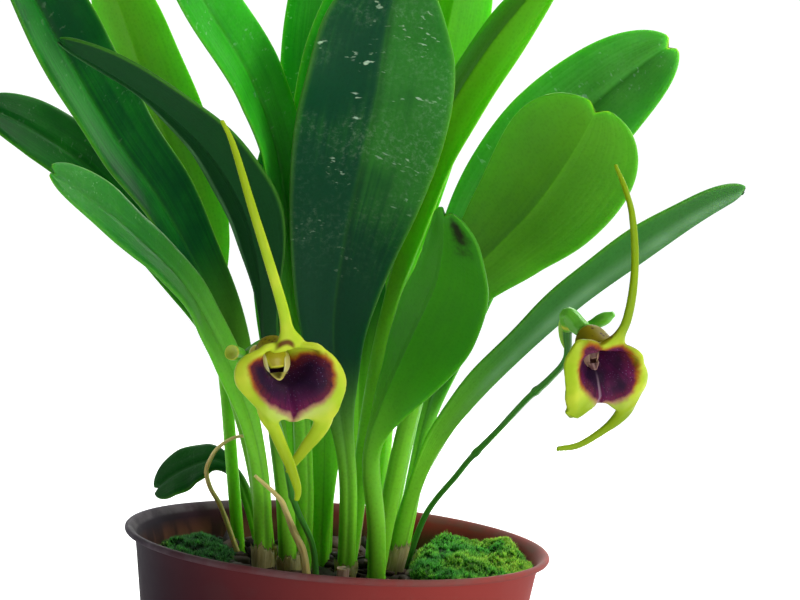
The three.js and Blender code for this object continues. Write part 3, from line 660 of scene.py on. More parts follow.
def leafPlace(leaf, run, seed):  # placing for a round stem that opens into a channelled blade
    shape = leafShape
    draw = random.Random(seed)
    ripples = [(draw.uniform(*paces), draw.uniform(*anyTurn)) for paces in shape["ripples"]]
    def place(turn, row):
        closing = min(1.0, row / shape["footCap"])
        share = shape["tip"] * (1 - (1 - row) ** shape["tipRows"])
        spot, heading, up, across = run.frame(share, leaf["facing"])
        quarter = 1 - abs(1 - (turn % math.pi) / (math.pi / 2))
        edge = quarter * quarter * (3 - 2 * quarter)
        hand = 1.0 if turn < math.pi else -1.0
        face = 1.0 if math.cos(turn) > 0 else -1.0
        side, half = hand * edge, halfWidth(share, leaf)
        flatness = easing(leaf["opens"], leaf["opens"] + shape["opening"], share)
        thickness = between(shape["rib"], shape["edge"], edge ** 0.8) * math.sqrt(max(0.0, 1 - quarter ** 7))
        thickness *= math.sqrt(max(0.0, 1 - max(0.0, (share - shape["thinFrom"]) / shape["thinOver"]) ** 2))
        lift = leaf["fold"] * half * edge ** 1.4 + face * thickness / 2
        if face > 0:
            lift -= shape["channel"] * bell(side * half, 0.7)
        else:
            lift -= shape["keel"] * bell(side * half, 0.8) * (1 - easing(0.8, 1.0, share))
        wave = sum(math.sin(pace * share * 6.3 + shift + hand) / (1 + i) for i, (pace, shift) in enumerate(ripples))
        lift += shape["wave"] * wave * edge ** 2 * min(1.0, half / 6) - 0.25 * easing(0.8, 1.0, edge)
        stem = leaf["stem"] * closing
        rounded = stem * math.cos(turn) * (1 - shape["groove"] * bell(math.sin(turn), 0.4) * (face > 0))
        wide = between(stem * math.sin(turn), half * side * (1 + leaf["uneven"] * hand), flatness)
        notch = shape["notch"] * easing(shape["notchFrom"], 1.0, share) * max(0.0, 1 - edge / shape["notchWidth"])
        spot = spot + across * wide * closing + up * between(rounded, lift, flatness) * closing - heading * notch
        return spot, side, share, 0.5 + 0.5 * face * (1 - edge ** 24) if abs(math.cos(turn)) > 0.02 else 0.5
    return place

def makeLeaves():
    materials = {}
    for seed, leaf in enumerate(leafList):
        own = leaf.keys() & {"halves", "shadow", "paleTo", "scar", "sheen"}
        key = leaf["look"] + (leaf["node"].title().replace("_", "") if own else "")
        leaf = {**leafUsual, **leaf}
        if key not in materials:
            materials[key] = makeLeafMaterial(key, leafLooks[leaf["look"]], leaf)
        bm = bmesh.new()
        placing = leafPlace(leaf, Run(rooted(leaf["foot"], leaf["rib"])), seed)
        addSkin(bm, leafShape["around"], leafShape["along"], placing, ("across", "along", "upper"))
        addPiece(bm, materials[key], leaf["node"])

makeLeaves()
print("leaves ready")


# flowers: sepals fused into a cup and face with three tails, in each flower's own frame of right, up and out

flowerShape = {
    "depth": 8.2, "rise": 1.5, "sheet": 0.8, "voxel": 0.2, "smoothing": 6, "around": 160, "rows": 60,
    "cupOut": [0, 1.6, 2.5, 2.95, 3.8, 5.0], "cupLeast": (5.3, 5.6),
    "cupDepth": [-7.4, -7.1, -5.9, -4.3, -2.7, -1.4, -0.4, -0.15],
    "hoodOut": [0, 1.6, 2.4, 2.6, 2.6, 2.55, 2.5],
    "dorsalWidth": [1.35, 1.05, 0.96, 0.9, 0.84, 0.78, 0.7, 0.6, 0.4], "flare": 1.9,
    "tailAround": 24, "tailRows": 80, "tailFacing": (0.1, 0.2, 1.0), "tailFlat": (0.55, 0.3), "tailGroove": 0.12,
}
flowerList = [
    {
        "node": "flower_left", "mouth": (-8, -60, 105), "facing": (0.47, -0.88, 0.02), "up": (-0.13, 0.02, 1),
        "lean": 0.0, "skew": 0.7, "magenta": 0.15, "crest": 0.95, "tails": (0.22, 0.32, 0.003),
        "tailFrom": (8.0, 30.0), "tailsDown": (-9.0, -17.0),
        "hoodDepth": [-7.4, -7.1, -5.8, -4.2, -2.8, -1.8, -1.3, -1.0],
        "outline": [
            (12, 3.0), (30, 3.35), (52, 3.6), (63, 4.4), (74, 5.4), (85, 6.9), (94, 8.1), (102, 9.2), (109, 10.1),
            (114, 10.6), (124, 11.1), (134, 11.4), (143, 11.7), (151, 11.6), (158, 10.8), (163, 9.7), (168, 9.35),
            (175, 9.7), (181, 9.75), (187, 9.3), (190, 9.0), (194, 9.4), (199, 10.4), (205, 10.2), (210, 9.7),
            (220, 9.2), (232, 9.1), (242, 9.35), (249, 9.7), (259, 9.5), (266, 9.2), (271, 8.8), (278, 7.8),
            (285, 6.6), (291, 5.5), (297, 5.0), (307, 4.1), (325, 3.4), (345, 3.0),
        ],
        "blotch": [
            (0.4, -1.2), (2.2, -0.4), (3.2, 0.5), (4.4, 0.75), (5.6, 0.2), (6.8, -1.0), (7.2, -2.7), (6.9, -4.6),
            (6.1, -5.8), (4.9, -6.7), (2.9, -7.3), (1.0, -8.4), (0.1, -9.5), (-0.6, -8.1), (-1.9, -7.6), (-3.6, -6.6),
            (-5.2, -5.2), (-6.3, -3.6), (-6.9, -1.8), (-7.1, -0.5), (-6.4, 0.3), (-4.8, 0.5), (-3.0, 0.2),
            (-1.5, -0.8),
        ],
        "centre": (-1.1, -0.45, -0.6), "centreSize": (1.12, 1.1),
        "rightWidth": [2.1, 1.95, 1.5, 1.28, 1.12, 1.0, 0.88, 0.7, 0.5],
        "leftWidth": [1.4, 1.3, 1.15, 1.08, 1.02, 0.95, 0.86, 0.74, 0.5],
        "dorsalTail": [
            (0, 1.8, -1.3), (-0.2, 3.2, -0.8), (-0.6, 5, -0.4), (-1.3, 7.9, 0.1), (-3.5, 14.2, 1), (-6.6, 23.8, 1.3),
            (-9.2, 33.3, 0.7), (-11, 37.1, 0.7),
        ],
        "leftTail": [
            (-4.7, -6.6, -0.6), (-4.3, -8.4, -0.4), (-3.3, -10.4, 0.1), (-2.5, -12.8, 0.7), (-1.4, -15.8, 1.3),
            (-0.6, -18.3, 1.5), (-0.1, -20.3, 1.4), (-0.3, -21.8, 1.1),
        ],
        "rightTail": [
            (5.4, -7.6, -0.5), (5, -10.1, -0.1), (4.1, -11.9, -0.5), (2.7, -13.7, -1.1), (1, -16, -1.7),
            (-0.3, -17.9, -2.1),
        ],
        "stalkFoot": (-3, -9),
        "stalk": [(-4.4, -11, 68), (-7.9, -20, 77), (-10.5, -35, 91), (-13.4, -44, 98.5), (-15.5, -48.6, 103)],
        "ovary": (-15, -50.6, 104.6), "stump": [(-16.6, -51, 104.4), (-18, -54, 105)], "bud": False,
        "bract": [(-14.4, -46, 100.6), (-15.6, -47.6, 101.6), (-16.6, -49.4, 102.8), (-17.2, -51, 103.2)],
    },
    {
        "node": "flower_right", "mouth": (42, -54, 107.9), "facing": (0.56, -0.69, -0.46), "up": (0.07, -0.41, 0.89),
        "lean": 0.17, "skew": 0.0, "magenta": 0.8, "crest": 0.0, "tails": (0.16, 0.26, 0.001), "tailFrom": (2.0, 7.0),
        "tailsDown": (-5.0, -11.0), "hoodDepth": [-7.4, -7.1, -5.9, -4.6, -3.5, -2.7, -2.2, -2.0],
        "outline": [
            (12, 2.8), (33, 3.2), (52, 3.9), (77, 5.2), (94, 6.5), (109, 8.4), (118, 9.4), (127, 10.1), (135, 10.5),
            (145, 10.7), (153, 10.5), (160, 9.5), (165, 8.2), (170, 7.7), (178, 7.7), (183, 8.0), (189, 8.5),
            (195, 9.3), (199, 10.4), (203, 10.6), (208, 10.4), (214, 9.9), (223, 9.0), (234, 7.9), (250, 7.5),
            (266, 7.8), (278, 8.1), (289, 8.1), (299, 8.0), (307, 7.6), (315, 5.8), (326, 4.1), (337, 3.1),
            (350, 2.6),
        ],
        "blotch": [
            (0.4, 2.6), (2.2, 2.6), (3.2, 1.9), (4.0, 1.1), (4.7, 0.0), (5.3, -1.5), (5.6, -3.5), (5.2, -5.4),
            (4.4, -6.3), (2.7, -7.0), (1.2, -7.2), (0.5, -7.9), (-0.7, -6.8), (-2.4, -5.2), (-3.9, -3.9),
            (-4.8, -2.4), (-5.5, -0.2), (-5.9, 1.6), (-5.6, 3.2), (-4.4, 3.8), (-2.6, 3.0), (-1.4, 2.0),
        ],
        "centre": (-0.7, -0.2, -0.4), "centreSize": (0.6, 0.8),
        "rightWidth": [2.2, 1.9, 1.35, 0.95, 0.8, 0.72, 0.64, 0.57, 0.5],
        "leftWidth": [1.7, 1.3, 1.1, 1.0, 0.9, 0.8, 0.7, 0.6, 0.45],
        "dorsalTail": [
            (0.9, 1.8, -2.2), (1.2, 3.1, -1.9), (1.6, 4.9, -1.6), (2.3, 7.4, -1.8), (3.5, 11.5, -3.6),
            (5, 15.8, -6.8), (5.3, 21.1, -10.2), (5.5, 23.9, -13.4), (4.6, 27, -16.3),
        ],
        "leftTail": [
            (-5, -7.4, -0.9), (-3.9, -9, -1.2), (-2.6, -10.2, -2.4), (-0.6, -11.8, -4.2), (1.6, -12.8, -6.4),
            (3.6, -13, -8.6),
        ],
        "rightTail": [
            (5.6, -7.0, 0.8), (5.3, -9.4, 0.7), (4.0, -11.6, 0.5), (1.5, -13.6, 0.3), (-2.2, -15.1, 0.3),
            (-6.9, -14.6, 0.5),
        ],
        "stalkFoot": (13.2, 12.5),
        "stalk": [
            (16.4, 9, 72), (21.4, 2, 81), (23.6, -2, 85), (27.7, -13, 92), (31.3, -26, 99), (34.1, -35, 103.5),
            (36, -42, 107.8), (35.4, -45.6, 112.6),
        ],
        "ovary": (35.2, -47.2, 115), "stump": [(37.8, -45, 113.2), (40, -45.8, 114.2), (42.6, -47, 115.9)],
        "bud": True, "bract": [(36, -43.6, 108.8), (35, -44.8, 111), (34.5, -46.2, 113.4), (34.4, -47.4, 115.6)],
    },
]

def outlineReach(marks, degrees):
    marks = [(marks[-1][0] - 360, marks[-1][1]), *marks, (marks[0][0] + 360, marks[0][1])]
    def straight(at):
        at = (at - marks[0][0]) % 360 + marks[0][0]
        for (a, low), (b, high) in zip(marks, marks[1:]):
            if at <= b:
                return between(low, high, (at - a) / (b - a))
        return marks[-1][1]
    return sum(straight(degrees + shift) for shift in (-3.5, -1.5, 1.5, 3.5)) / 4

def sepalSheet(bm, bloom):  # the cup and face, from the bottom of the cup out to the outline
    shape = flowerShape
    grid = bmesh.ops.create_grid(bm, x_segments=shape["around"], y_segments=shape["rows"], size=0.5)["verts"]
    reaches = {}
    for vert in grid:
        turn, share = 360 * (vert.co.x + 0.5), vert.co.y + 0.5
        key = round(turn, 3) % 360
        if key not in reaches:
            reaches[key] = outlineReach(bloom["outline"], key)
        reach = reaches[key]
        inner, outer = shape["cupLeast"]
        opened = easing(30, 78, min(turn, 360 - turn))
        cup = valueAt([*shape["cupOut"], max(0.8 * reach, inner), max(reach, outer)], share)
        hood = valueAt([*shape["hoodOut"], reach], share)
        out = hood + (cup - hood) * opened * min(1.0, reach / outer)
        depth = between(valueAt(bloom["hoodDepth"], share), valueAt(shape["cupDepth"], share), opened)
        angle = math.radians(turn)
        x, y = out * math.sin(angle), out * math.cos(angle)
        face = easing(0.55, 0.8, share) * opened
        depth += face * (0.45 * bell(abs(x) - 4.6, 2.4) - 0.5 * bell(x, 0.5) * easing(-1.0, -3.0, y))
        depth -= 0.7 * easing(0.86, 1.0, share) * opened * easing(-9.0, -6.0, y)
        depth += bloom["lean"] * x * easing(2.0, 5.0, out)
        depth += 0.1 * noise.noise(Vector((x * 0.5, y * 0.5, 3.0)))
        x -= bloom["skew"] * easing(-1.0, -4.5, depth)
        vert.co = (x, y + shape["rise"] * (min(0.0, depth) / shape["depth"]) ** 2, depth)
    bmesh.ops.remove_doubles(bm, verts=grid, dist=1e-4)

def blotchDistance(marks, x, y):  # how far outside the dark blotch a point of the face is
    spot = Vector((x, y))
    nearest, inside = 99.0, False
    for a, b in zip(marks, [*marks[1:], marks[0]]):
        start, span = Vector(a), Vector(b) - Vector(a)
        part = min(1.0, max(0.0, (spot - start).dot(span) / span.dot(span)))
        nearest = min(nearest, (spot - start - span * part).length)
        if (a[1] > y) != (b[1] > y) and x < a[0] + (y - a[1]) / (b[1] - a[1]) * span.x:
            inside = not inside
    return -nearest if inside else nearest

def tailSkin(bm, points, widths, flare=0.0):
    shape = flowerShape
    run = Run(points)
    def radiusAt(share):
        return valueAt(widths, share) + flare * bell(share * run.length, 2.0)
    def flatAt(share):
        return between(*shape["tailFlat"], bell(share * run.length, 2.5))
    placing = roundedStem(run, radiusAt, shape["tailFacing"], flatAt, shape["tailGroove"])
    addSkin(bm, shape["tailAround"], shape["tailRows"], placing)

def flowerFrame(bloom):
    out = Vector(bloom["facing"]).normalized()
    up = Vector(bloom["up"])
    up = (up - out * up.dot(out)).normalized()
    turn = Matrix((up.cross(out), up, out)).transposed().to_4x4()
    return Matrix.Translation(Vector(bloom["mouth"])) @ turn

sepalMarks = ("blotch", "inner", "reach", "height", "side")
sepalLook = {
    "yellow": (0.47, 0.54, 0.035), "green": (0.31, 0.47, 0.014), "cream": (0.47, 0.55, 0.15),
    "amber": (0.27, 0.06, 0.004), "pink": (0.3, 0.16, 0.1), "maroon": (0.075, 0.006, 0.01),
    "dark": (0.012, 0.002, 0.016), "magenta": (0.12, 0.006, 0.065), "streak": (0.42, 0.27, 0.33),
    "crest": (0.09, 0.014, 0.002), "outside": [(0.28, 0.2, 0.002), (0.12, 0.13, 0.002)],
    "speckle": (0.05, 0.012, 0.01), "frost": (0.3, 0.25, 0.5),
}

def makeSepalMaterial(name, bloom):
    magenta, tails, look = bloom["magenta"], bloom["tails"], sepalLook
    material, board, shader = newMaterial(name, (0.3, (1.0, 0.85, 0.15), 0.0009), IOR=1.4, Specular_IOR_Level=0.14)
    place = board.place()
    away, inner, reach, height, side = (board.attribute(mark) for mark in sepalMarks)
    ragged = board.noise(place, 900.0, 4.0, 0.6)
    slow = board.noise(place, 220.0)
    fuzzy = away + ragged * 0.8 + slow * 0.9 - 0.85
    # the yellow skin, pale below the blotch and deeper on the tails
    skin = board.mix(board.rescale(slow, 0.3, 0.75), look["green"], look["yellow"])
    pale = board.rescale(height, -6.0, -9.0) * board.rescale(away, 2.6, 0.6)
    skin = board.mix(pale * 0.75, skin, look["cream"])
    upward = board.rescale(reach, *bloom["tailFrom"]) * board.rescale(height, 1.5, 3.5)
    narrow = upward * board.rescale(abs(side), height * 0.5 + 5.0, height * 0.5 + 2.5)
    onTails = board.maths("MAXIMUM", narrow, board.rescale(height, *bloom["tailsDown"]))
    skin = board.mix(onTails, skin, board.mix(slow, tails, [part * 1.15 for part in tails]))
    # the dark blotch, with its rays and fading edge, and a painted highlight as a pale streak down its middle
    low = board.rescale(height, -3.5, -8.0)
    purple = board.maths("MAXIMUM", low * 0.6, board.rescale(slow, 0.35, 0.7) * magenta)
    heart = board.mix(board.rescale(fuzzy, -1.6, -0.45), look["dark"], look["maroon"])
    heart = board.mix(purple, heart, look["magenta"])
    turn = board.maths("ARCTAN2", side, 1.0 - height)
    rays = board.noise(board.joined(turn * 16.0, reach * 0.3), 1.0)
    heart = board.mix(board.rescale(rays, 0.45, 0.7, 0.0, 0.5), heart, look["dark"])
    flesh = board.mix(board.rescale(fuzzy, -0.4, 0.15), heart, board.mix(low, look["amber"], look["pink"]))
    flesh = board.mix(board.rescale(fuzzy, -0.05, 0.95), flesh, skin)
    # painted highlight: a pale pink streak along the middle groove
    streak = board.rescale(abs(side), 0.3, 0.0) * board.rescale(height, -2.4, -5.6) * board.rescale(away, 0.3, -0.2)
    flesh = board.mix(streak * max(0.0, 0.9 * magenta - 0.17), flesh, look["streak"])
    apart = side + 0.9
    arch = apart * apart * 0.28 + ragged * 0.3 + height
    crest = board.rescale(abs(apart), 2.1, 1.0) * board.rescale(abs(arch - 3.0), 0.75, 0.15)
    flesh = board.mix(crest * bloom["crest"], flesh, look["crest"])
    # the speckled outside
    outside = board.mix(board.rescale(reach, 7.5, 4.5), skin, board.mix(slow, *look["outside"]))
    speckle = board.rescale(board.cells(place, 1100.0), 0.34, 0.2) * board.rescale(reach, 6.5, 4.5)
    outside = board.mix(speckle * 0.8, outside, look["speckle"])
    # pale stipples over the heart: partly its papillae and partly a painted sheen
    stipple = board.cells(place, 2600.0)
    inHeart = board.rescale(fuzzy, 0.2, -0.6) * inner
    frost = board.rescale(stipple, 0.25, 0.12) * inHeart * board.rescale(slow, 0.4, 0.65, 0.03, 0.3)
    colour = board.mix(frost, board.mix(inner, outside, flesh), look["frost"])
    rough = inHeart * 0.1 + ragged * 0.15 + 0.36
    bumps = stipple * (inHeart * 0.7 + 0.25) + slow * 0.5
    finishMaterial(board, shader, colour, rough, bumps, strength=0.3, depth=0.12)
    return material

def makeSepals(bloom, material):
    shape = flowerShape
    sheet = bmesh.new()
    sepalSheet(sheet, bloom)
    bm = withModifiers(sheet, ("SOLIDIFY", {"thickness": shape["sheet"], "offset": 0.0}))
    tailSkin(bm, bloom["dorsalTail"], shape["dorsalWidth"], shape["flare"])
    tailSkin(bm, bloom["leftTail"], bloom["leftWidth"])
    tailSkin(bm, bloom["rightTail"], bloom["rightWidth"])
    bm = withModifiers(
        bm, ("REMESH", {"mode": "VOXEL", "voxel_size": shape["voxel"]}),
        ("SMOOTH", {"factor": 0.5, "iterations": shape["smoothing"]}),
    )
    bm.normal_update()
    layers = [bm.verts.layers.float.new(mark) for mark in sepalMarks]
    for vert in bm.verts:
        x, y, z = vert.co
        level = y - shape["rise"] * (z / shape["depth"]) ** 2
        far, out = math.hypot(x, y), math.hypot(x, level)
        radial = -(vert.normal.x * x + vert.normal.y * level) / max(0.1, out)
        inCup = easing(-0.6, -2.0, z) * easing(5.5, 4.0, out)
        inner = between(easing(0.0, 0.35, vert.normal.z), easing(-0.1, 0.25, radial + vert.normal.z), inCup)
        away = blotchDistance(bloom["blotch"], x, level) if far < 14 else 5.0
        for layer, value in zip(layers, (away, inner, far if z > -1.0 or out > 5 else out, y, x)):
            vert[layer] = value
    bmesh.ops.transform(bm, matrix=flowerFrame(bloom), verts=bm.verts)
    addPiece(bm, material, bloom["node"] + "_sepals")

centreShape = {
    "around": 28, "rows": 34, "facing": (0, 1, 0.3),
    "petal": [(1.1, 1.6, -6.6), (2.1, 1.4, -5.2), (2.3, 0.4, -4.1), (1.9, -1.1, -3.3), (1.0, -2.4, -2.9)],
    "petalWidth": [0.6, 1.05, 1.2, 0.95, 0.4], "petalFlat": 0.2, "petalTurn": (0.55, 0.85),
    "column": [(0.1, 1.9, -7.0), (0.1, 2.0, -5.4), (0.2, 1.0, -4.1), (0.3, -0.9, -3.2)],
    "columnWidth": [1.0, 1.5, 1.8, 1.7, 1.1], "columnFlat": 0.5,
    "lip": [(0, -1.0, -6.2), (0, -1.9, -4.8), (0, -2.5, -3.6), (0, -2.7, -2.6), (0, -2.3, -1.8)],
    "lipWidth": [0.9, 1.4, 1.7, 1.7, 1.1], "lipFlat": 0.2, "lipChannel": 1.1,
}
waxLooks = {  # near, far and rim colours, and glow; the first three for the left flower
    "petalWax": ((0.46, 0.42, 0.06), (0.55, 0.52, 0.2), (0.6, 0.6, 0.26), 0.5),
    "columnWax": ((0.36, 0.38, 0.008), (0.34, 0.3, 0.008), (0.5, 0.5, 0.03), 0.3),
    "lipWax": ((0.4, 0.1, 0.03), (0.16, 0.05, 0.012), (0.5, 0.45, 0.1), 0.25),
    "rosePetalWax": ((0.14, 0.07, 0.04), (0.26, 0.15, 0.1), (0.3, 0.2, 0.13), 0.3),
    "roseColumnWax": ((0.05, 0.03, 0.012), (0.09, 0.04, 0.03), (0.2, 0.12, 0.08), 0.3),
    "roseLipWax": ((0.1, 0.03, 0.04), (0.2, 0.09, 0.09), (0.3, 0.17, 0.14), 0.3),
}

def makeWaxyMaterial(name, near, far, rim, glow):
    material, board, shader = newMaterial(name, (glow, (1.0, 0.8, 0.3), 0.0012), IOR=1.4, Specular_IOR_Level=0.35)
    place = board.place()
    reach, across = board.attribute("reach"), abs(board.attribute("across"))
    cloudy = board.noise(place, 700.0, 3.0)
    colour = board.mix(board.rescale(cloudy * 0.5 + reach, 0.45, 1.15), near, far)
    atRim = board.maths("MAXIMUM", board.rescale(across, 0.72, 0.96), board.rescale(reach, 0.94, 0.98))
    colour = board.mix(atRim, colour, rim)
    finishMaterial(board, shader, colour, cloudy * 0.2 + 0.28, board.cells(place, 2200.0), strength=0.2, depth=0.1)
    return material

def makeCentre(bloom, petalWax, columnWax, lipWax):
    shape = centreShape
    wide, tall = bloom["centreSize"]
    def blade(label, material, kind, facing=shape["facing"], hand=1, channel=0.0):
        run = Run([Vector((hand * x * wide, y * tall, z)) + Vector(bloom["centre"]) for x, y, z in shape[kind]])
        placing = roundedStem(run, [width * wide for width in shape[kind + "Width"]], facing, shape[kind + "Flat"])
        def place(turn, row):
            spot, share, side = placing(turn, row)
            return spot + run.frame(share, facing)[2] * channel * side * side, share, side
        bm = bmesh.new()
        addSkin(bm, shape["around"], shape["rows"], place, ("reach", "across"))
        bmesh.ops.transform(bm, matrix=flowerFrame(bloom), verts=bm.verts)
        addPiece(bm, material, bloom["node"] + "_centre", pieceName(bloom["node"], label))
    aside, out = shape["petalTurn"]
    blade("RightPetal", petalWax, "petal", (aside, 0, out))
    blade("LeftPetal", petalWax, "petal", (-aside, 0, out), -1)
    blade("Column", columnWax, "column")
    blade("Lip", lipWax, "lip", channel=shape["lipChannel"])

stalkShape = {
    "radius": 0.56, "joints": (0.45, 0.78), "bract": [0.3, 0.62, 0.68, 0.22], "bractFlat": 0.25,
    "ovary": [0.85, 1.15, 1.4, 1.45, 1.3], "bud": [0.7, 0.5, 0.5, 0.75, 1.05, 1.0, 0.45],
    "stump": [0.9, 0.95, 1.05, 1.15, 1.2],
}
stalkLook = {
    "deep": (0.025, 0.16, 0.02), "light": (0.07, 0.3, 0.03), "freckle": (0.06, 0.03, 0.03),
    "ripe": [(0.09, 0.42, 0.02), (0.16, 0.5, 0.04)], "rim": (0.6, 0.6, 0.06),
}

def makeStalkMaterial():
    look = stalkLook
    material, board, shader = newMaterial("greenStalk", (0.35, (0.5, 1.0, 0.15), 0.0012), IOR=1.42, Coat_Weight=0.1)
    reach, across, ripe, rim = (board.attribute(mark) for mark in ("reach", "across", "ripe", "rim"))
    streak = board.noise(board.joined(across * 5.0, reach * 6.0), 1.0, 3.0)
    colour = board.mix(board.rescale(streak, 0.3, 0.7), look["deep"], look["light"])
    freckle = board.rescale(board.cells(board.place(), 900.0), 0.2, 0.1)
    colour = board.mix(freckle * 0.35, colour, look["freckle"])
    colour = board.mix(board.rescale(ripe, 0.2, 0.9), colour, board.mix(streak, *look["ripe"]))
    colour = board.mix(board.maths("MULTIPLY", rim, 0.95, clamp=True), colour, look["rim"])
    finishMaterial(board, shader, colour, streak * 0.15 + 0.3, streak, strength=0.3, depth=0.12)
    return material

def makeStalk(bloom, material):  # the stalk, the ovary, the stub or bud beside it, and the bract
    shape = stalkShape
    bm = bmesh.new()
    def tube(points, radii, ripe=1.0, around=20, rows=40, rimAt=None, fluted=0.0, cupped=False, flat=1.0, pale=0.0):
        run = Run(points)
        placing = roundedStem(run, radii, flat=flat)
        def place(turn, row):
            spot, share, side = placing(turn, row)
            if fluted:
                spot = spot + (spot - run.spot(share)) * fluted * math.cos(6 * turn) * easing(0.0, 0.4, share)
            rim = bell(share - rimAt, 0.05) if rimAt else pale * (0.7 + 0.5 * side)
            if cupped and row > 0.955:
                spot = spot - run.heading(1.0) * 0.5 * easing(0.985, 1.0, row)
                rim = 1.0 - 0.3 * easing(0.975, 0.99, row)
            return spot, share, side, ripe, rim
        addSkin(bm, around, rows, place, ("reach", "across", "ripe", "rim"))
    def peduncle(share):
        joint = sum(0.35 * bell(share - at, 0.012) + 0.12 * bell(share - at - 0.03, 0.04) for at in shape["joints"])
        return shape["radius"] * (1 + joint + 0.45 * easing(0.93, 1.0, share) + 0.25 * (1 - easing(0.0, 0.3, share)))
    tube(rooted(bloom["stalkFoot"], bloom["stalk"]), peduncle, ripe=0.0, rows=130)
    rise, depth = flowerShape["rise"], flowerShape["depth"]
    behind = [tuple(flowerFrame(bloom) @ Vector((0, rise, -depth + lift))) for lift in (-1.4, 0.3)]
    top = bloom["stalk"][-1]
    tube([top, bloom["ovary"], *behind], shape["ovary"], around=24, rimAt=0.12, fluted=0.07)
    if bloom["bud"]:
        tube([top, *bloom["stump"]], shape["bud"], around=24, rows=90)
    else:
        tube([top, *bloom["stump"]], shape["stump"], around=24, rows=90, rimAt=0.97, cupped=True)
    tube(bloom["bract"], shape["bract"], flat=shape["bractFlat"], pale=0.3)
    addPiece(bm, material, bloom["node"] + "_stalk")

def makeFlowers():
    waxes = [makeWaxyMaterial(name, *look) for name, look in waxLooks.items()]
    stalkSkin = makeStalkMaterial()
    for bloom, waxSet in zip(flowerList, (waxes[:3], waxes[3:])):
        makeSepals(bloom, makeSepalMaterial(pieceName(bloom["node"], "Flesh"), bloom))
        makeCentre(bloom, *waxSet)
        makeStalk(bloom, stalkSkin)

makeFlowers()
print("flowers ready")


# pot: thin plastic turned round its axis, with a rolled rim and drain holes

potShape = {
    "height": 68, "outer": (28, 38.2), "wall": 1.0, "steps": 192, "drains": 6, "drainRadius": 3.5, "drainCircle": 17,
    "wallLevels": (4, 12, 24, 36, 48, 58, 63), "sharp": 40,
    "base": [(0, 0.7), (24.2, 0.7), (24.9, 0.5), (25.3, 0.1), (25.9, 0), (27.1, 0), (27.7, 0.25), (28.05, 0.9)],
    "rim": [
        (38.02, 66.4), (38.2, 66.6), (38.8, 66.7), (39.5, 66.8), (39.85, 67.0), (39.98, 67.3), (39.92, 67.65),
        (39.7, 67.9), (39.35, 67.98), (39.0, 67.9), (38.5, 67.5), (37.9, 66.8), (37.35, 65.6),
    ],
    "floor": [(27.2, 4.2), (26.75, 2.5), (26.0, 1.8), (24.8, 1.6), (0, 1.6)],
}
potLook = {  # each pair is the colour in shade and in light
    "body": [(0.01, 0.005, 0.014), (0.25, 0.034, 0.028)], "grime": [(0.025, 0.018, 0.026), (0.2, 0.07, 0.055)],
    "wear": [(0.13, 0.11, 0.13), (0.16, 0.07, 0.06)], "mud": [(0.035, 0.014, 0.012), (0.15, 0.055, 0.032)],
    "algae": (0.03, 0.06, 0.012),
}

def potRadius(z):
    return between(*potShape["outer"], z / potShape["height"])

def makePotMaterial():
    look = potLook
    material, board, shader = newMaterial("wornPlastic", IOR=1.46, Specular_IOR_Level=0.12)
    place, inside = board.place(), board.attribute("inside")
    x, y, z = board.split(place)
    grime = board.noise(place, 120.0, 4.0, 0.6)
    streaks = board.noise(board.stretched(place, (260.0, 260.0, 12.0)), 1.0, 3.0)
    # painted light and shade: the body, grime and rim are painted dark purple towards the left, as shade, and
    # red-brown towards the right, as light
    paintedSideLight = board.rescale(board.noise(place, 28.0, 3.0) * 0.02 + x, -0.03, 0.035)
    body = board.mix(paintedSideLight, *look["body"])
    body = board.mix(board.rescale(grime, 0.5, 0.75) * 0.3, body, board.mix(paintedSideLight, *look["grime"]))
    # the paler top of the rim is partly wear and partly a painted highlight
    wear = board.rescale(z, 0.0662, 0.067) * board.rescale(grime, 0.35, 0.65, 0.15, 0.7)
    body = board.mix(wear, body, board.mix(paintedSideLight, *look["wear"]))
    mud = board.mix(board.rescale(streaks, 0.35, 0.65), *look["mud"])
    mud = board.mix(board.rescale(grime, 0.55, 0.7) * board.rescale(z, 0.066, 0.06), mud, look["algae"])
    colour = board.mix(inside * board.rescale(z, 0.0676, 0.066), body, mud)
    rough = grime * 0.25 + inside * 0.1 + 0.58
    finishMaterial(board, shader, colour, rough, streaks * 0.4 + grime, strength=0.25, depth=0.12)
    return material

def makePot():
    shape = potShape
    bm = bmesh.new()
    wall = [(potRadius(z), z) for z in shape["wallLevels"]]
    inner = [(r - shape["wall"], z) for r, z in reversed(wall)]
    profile = shape["base"] + wall + shape["rim"] + inner[:-1] + shape["floor"]
    corners = [bm.verts.new((r, 0, z)) for r, z in profile]
    edges = [bm.edges.new(pair) for pair in zip(corners, corners[1:])]
    bmesh.ops.spin(
        bm, geom=corners + edges, cent=(0, 0, 0), axis=(0, 0, 1), angle=2 * math.pi, steps=shape["steps"],
        use_merge=True,
    )
    bmesh.ops.remove_doubles(bm, verts=bm.verts, dist=1e-3)
    bmesh.ops.recalc_face_normals(bm, faces=bm.faces)
    cutter = bmesh.new()
    radius = shape["drainRadius"]
    for i in range(shape["drains"]):
        turn = 2 * math.pi * (i + 0.5) / shape["drains"]
        bar = bmesh.ops.create_cone(cutter, cap_ends=True, segments=32, radius1=radius, radius2=radius, depth=6)
        bmesh.ops.translate(cutter, verts=bar["verts"], vec=polar(shape["drainCircle"], turn))
    bars = toMesh("drainBars", cutter)
    holder = addObject("drainBars", bars)
    bm = withModifiers(bm, ("BOOLEAN", {"object": holder, "operation": "DIFFERENCE", "solver": "EXACT"}))
    bpy.data.objects.remove(holder)
    bpy.data.meshes.remove(bars)
    inside = bm.verts.layers.float.new("inside")
    for vert in bm.verts:
        x, y, z = vert.co
        vert[inside] = 1.0 if math.hypot(x, y) < potRadius(z) - 0.7 and z > 1 else 0.0
    pot = addPiece(bm, makePotMaterial(), "pot")
    pot.data.set_sharp_from_angle(angle=math.radians(shape["sharp"]))

makePot()
print("pot ready")


# bark: a lumpy bed of soil with loose chips over it

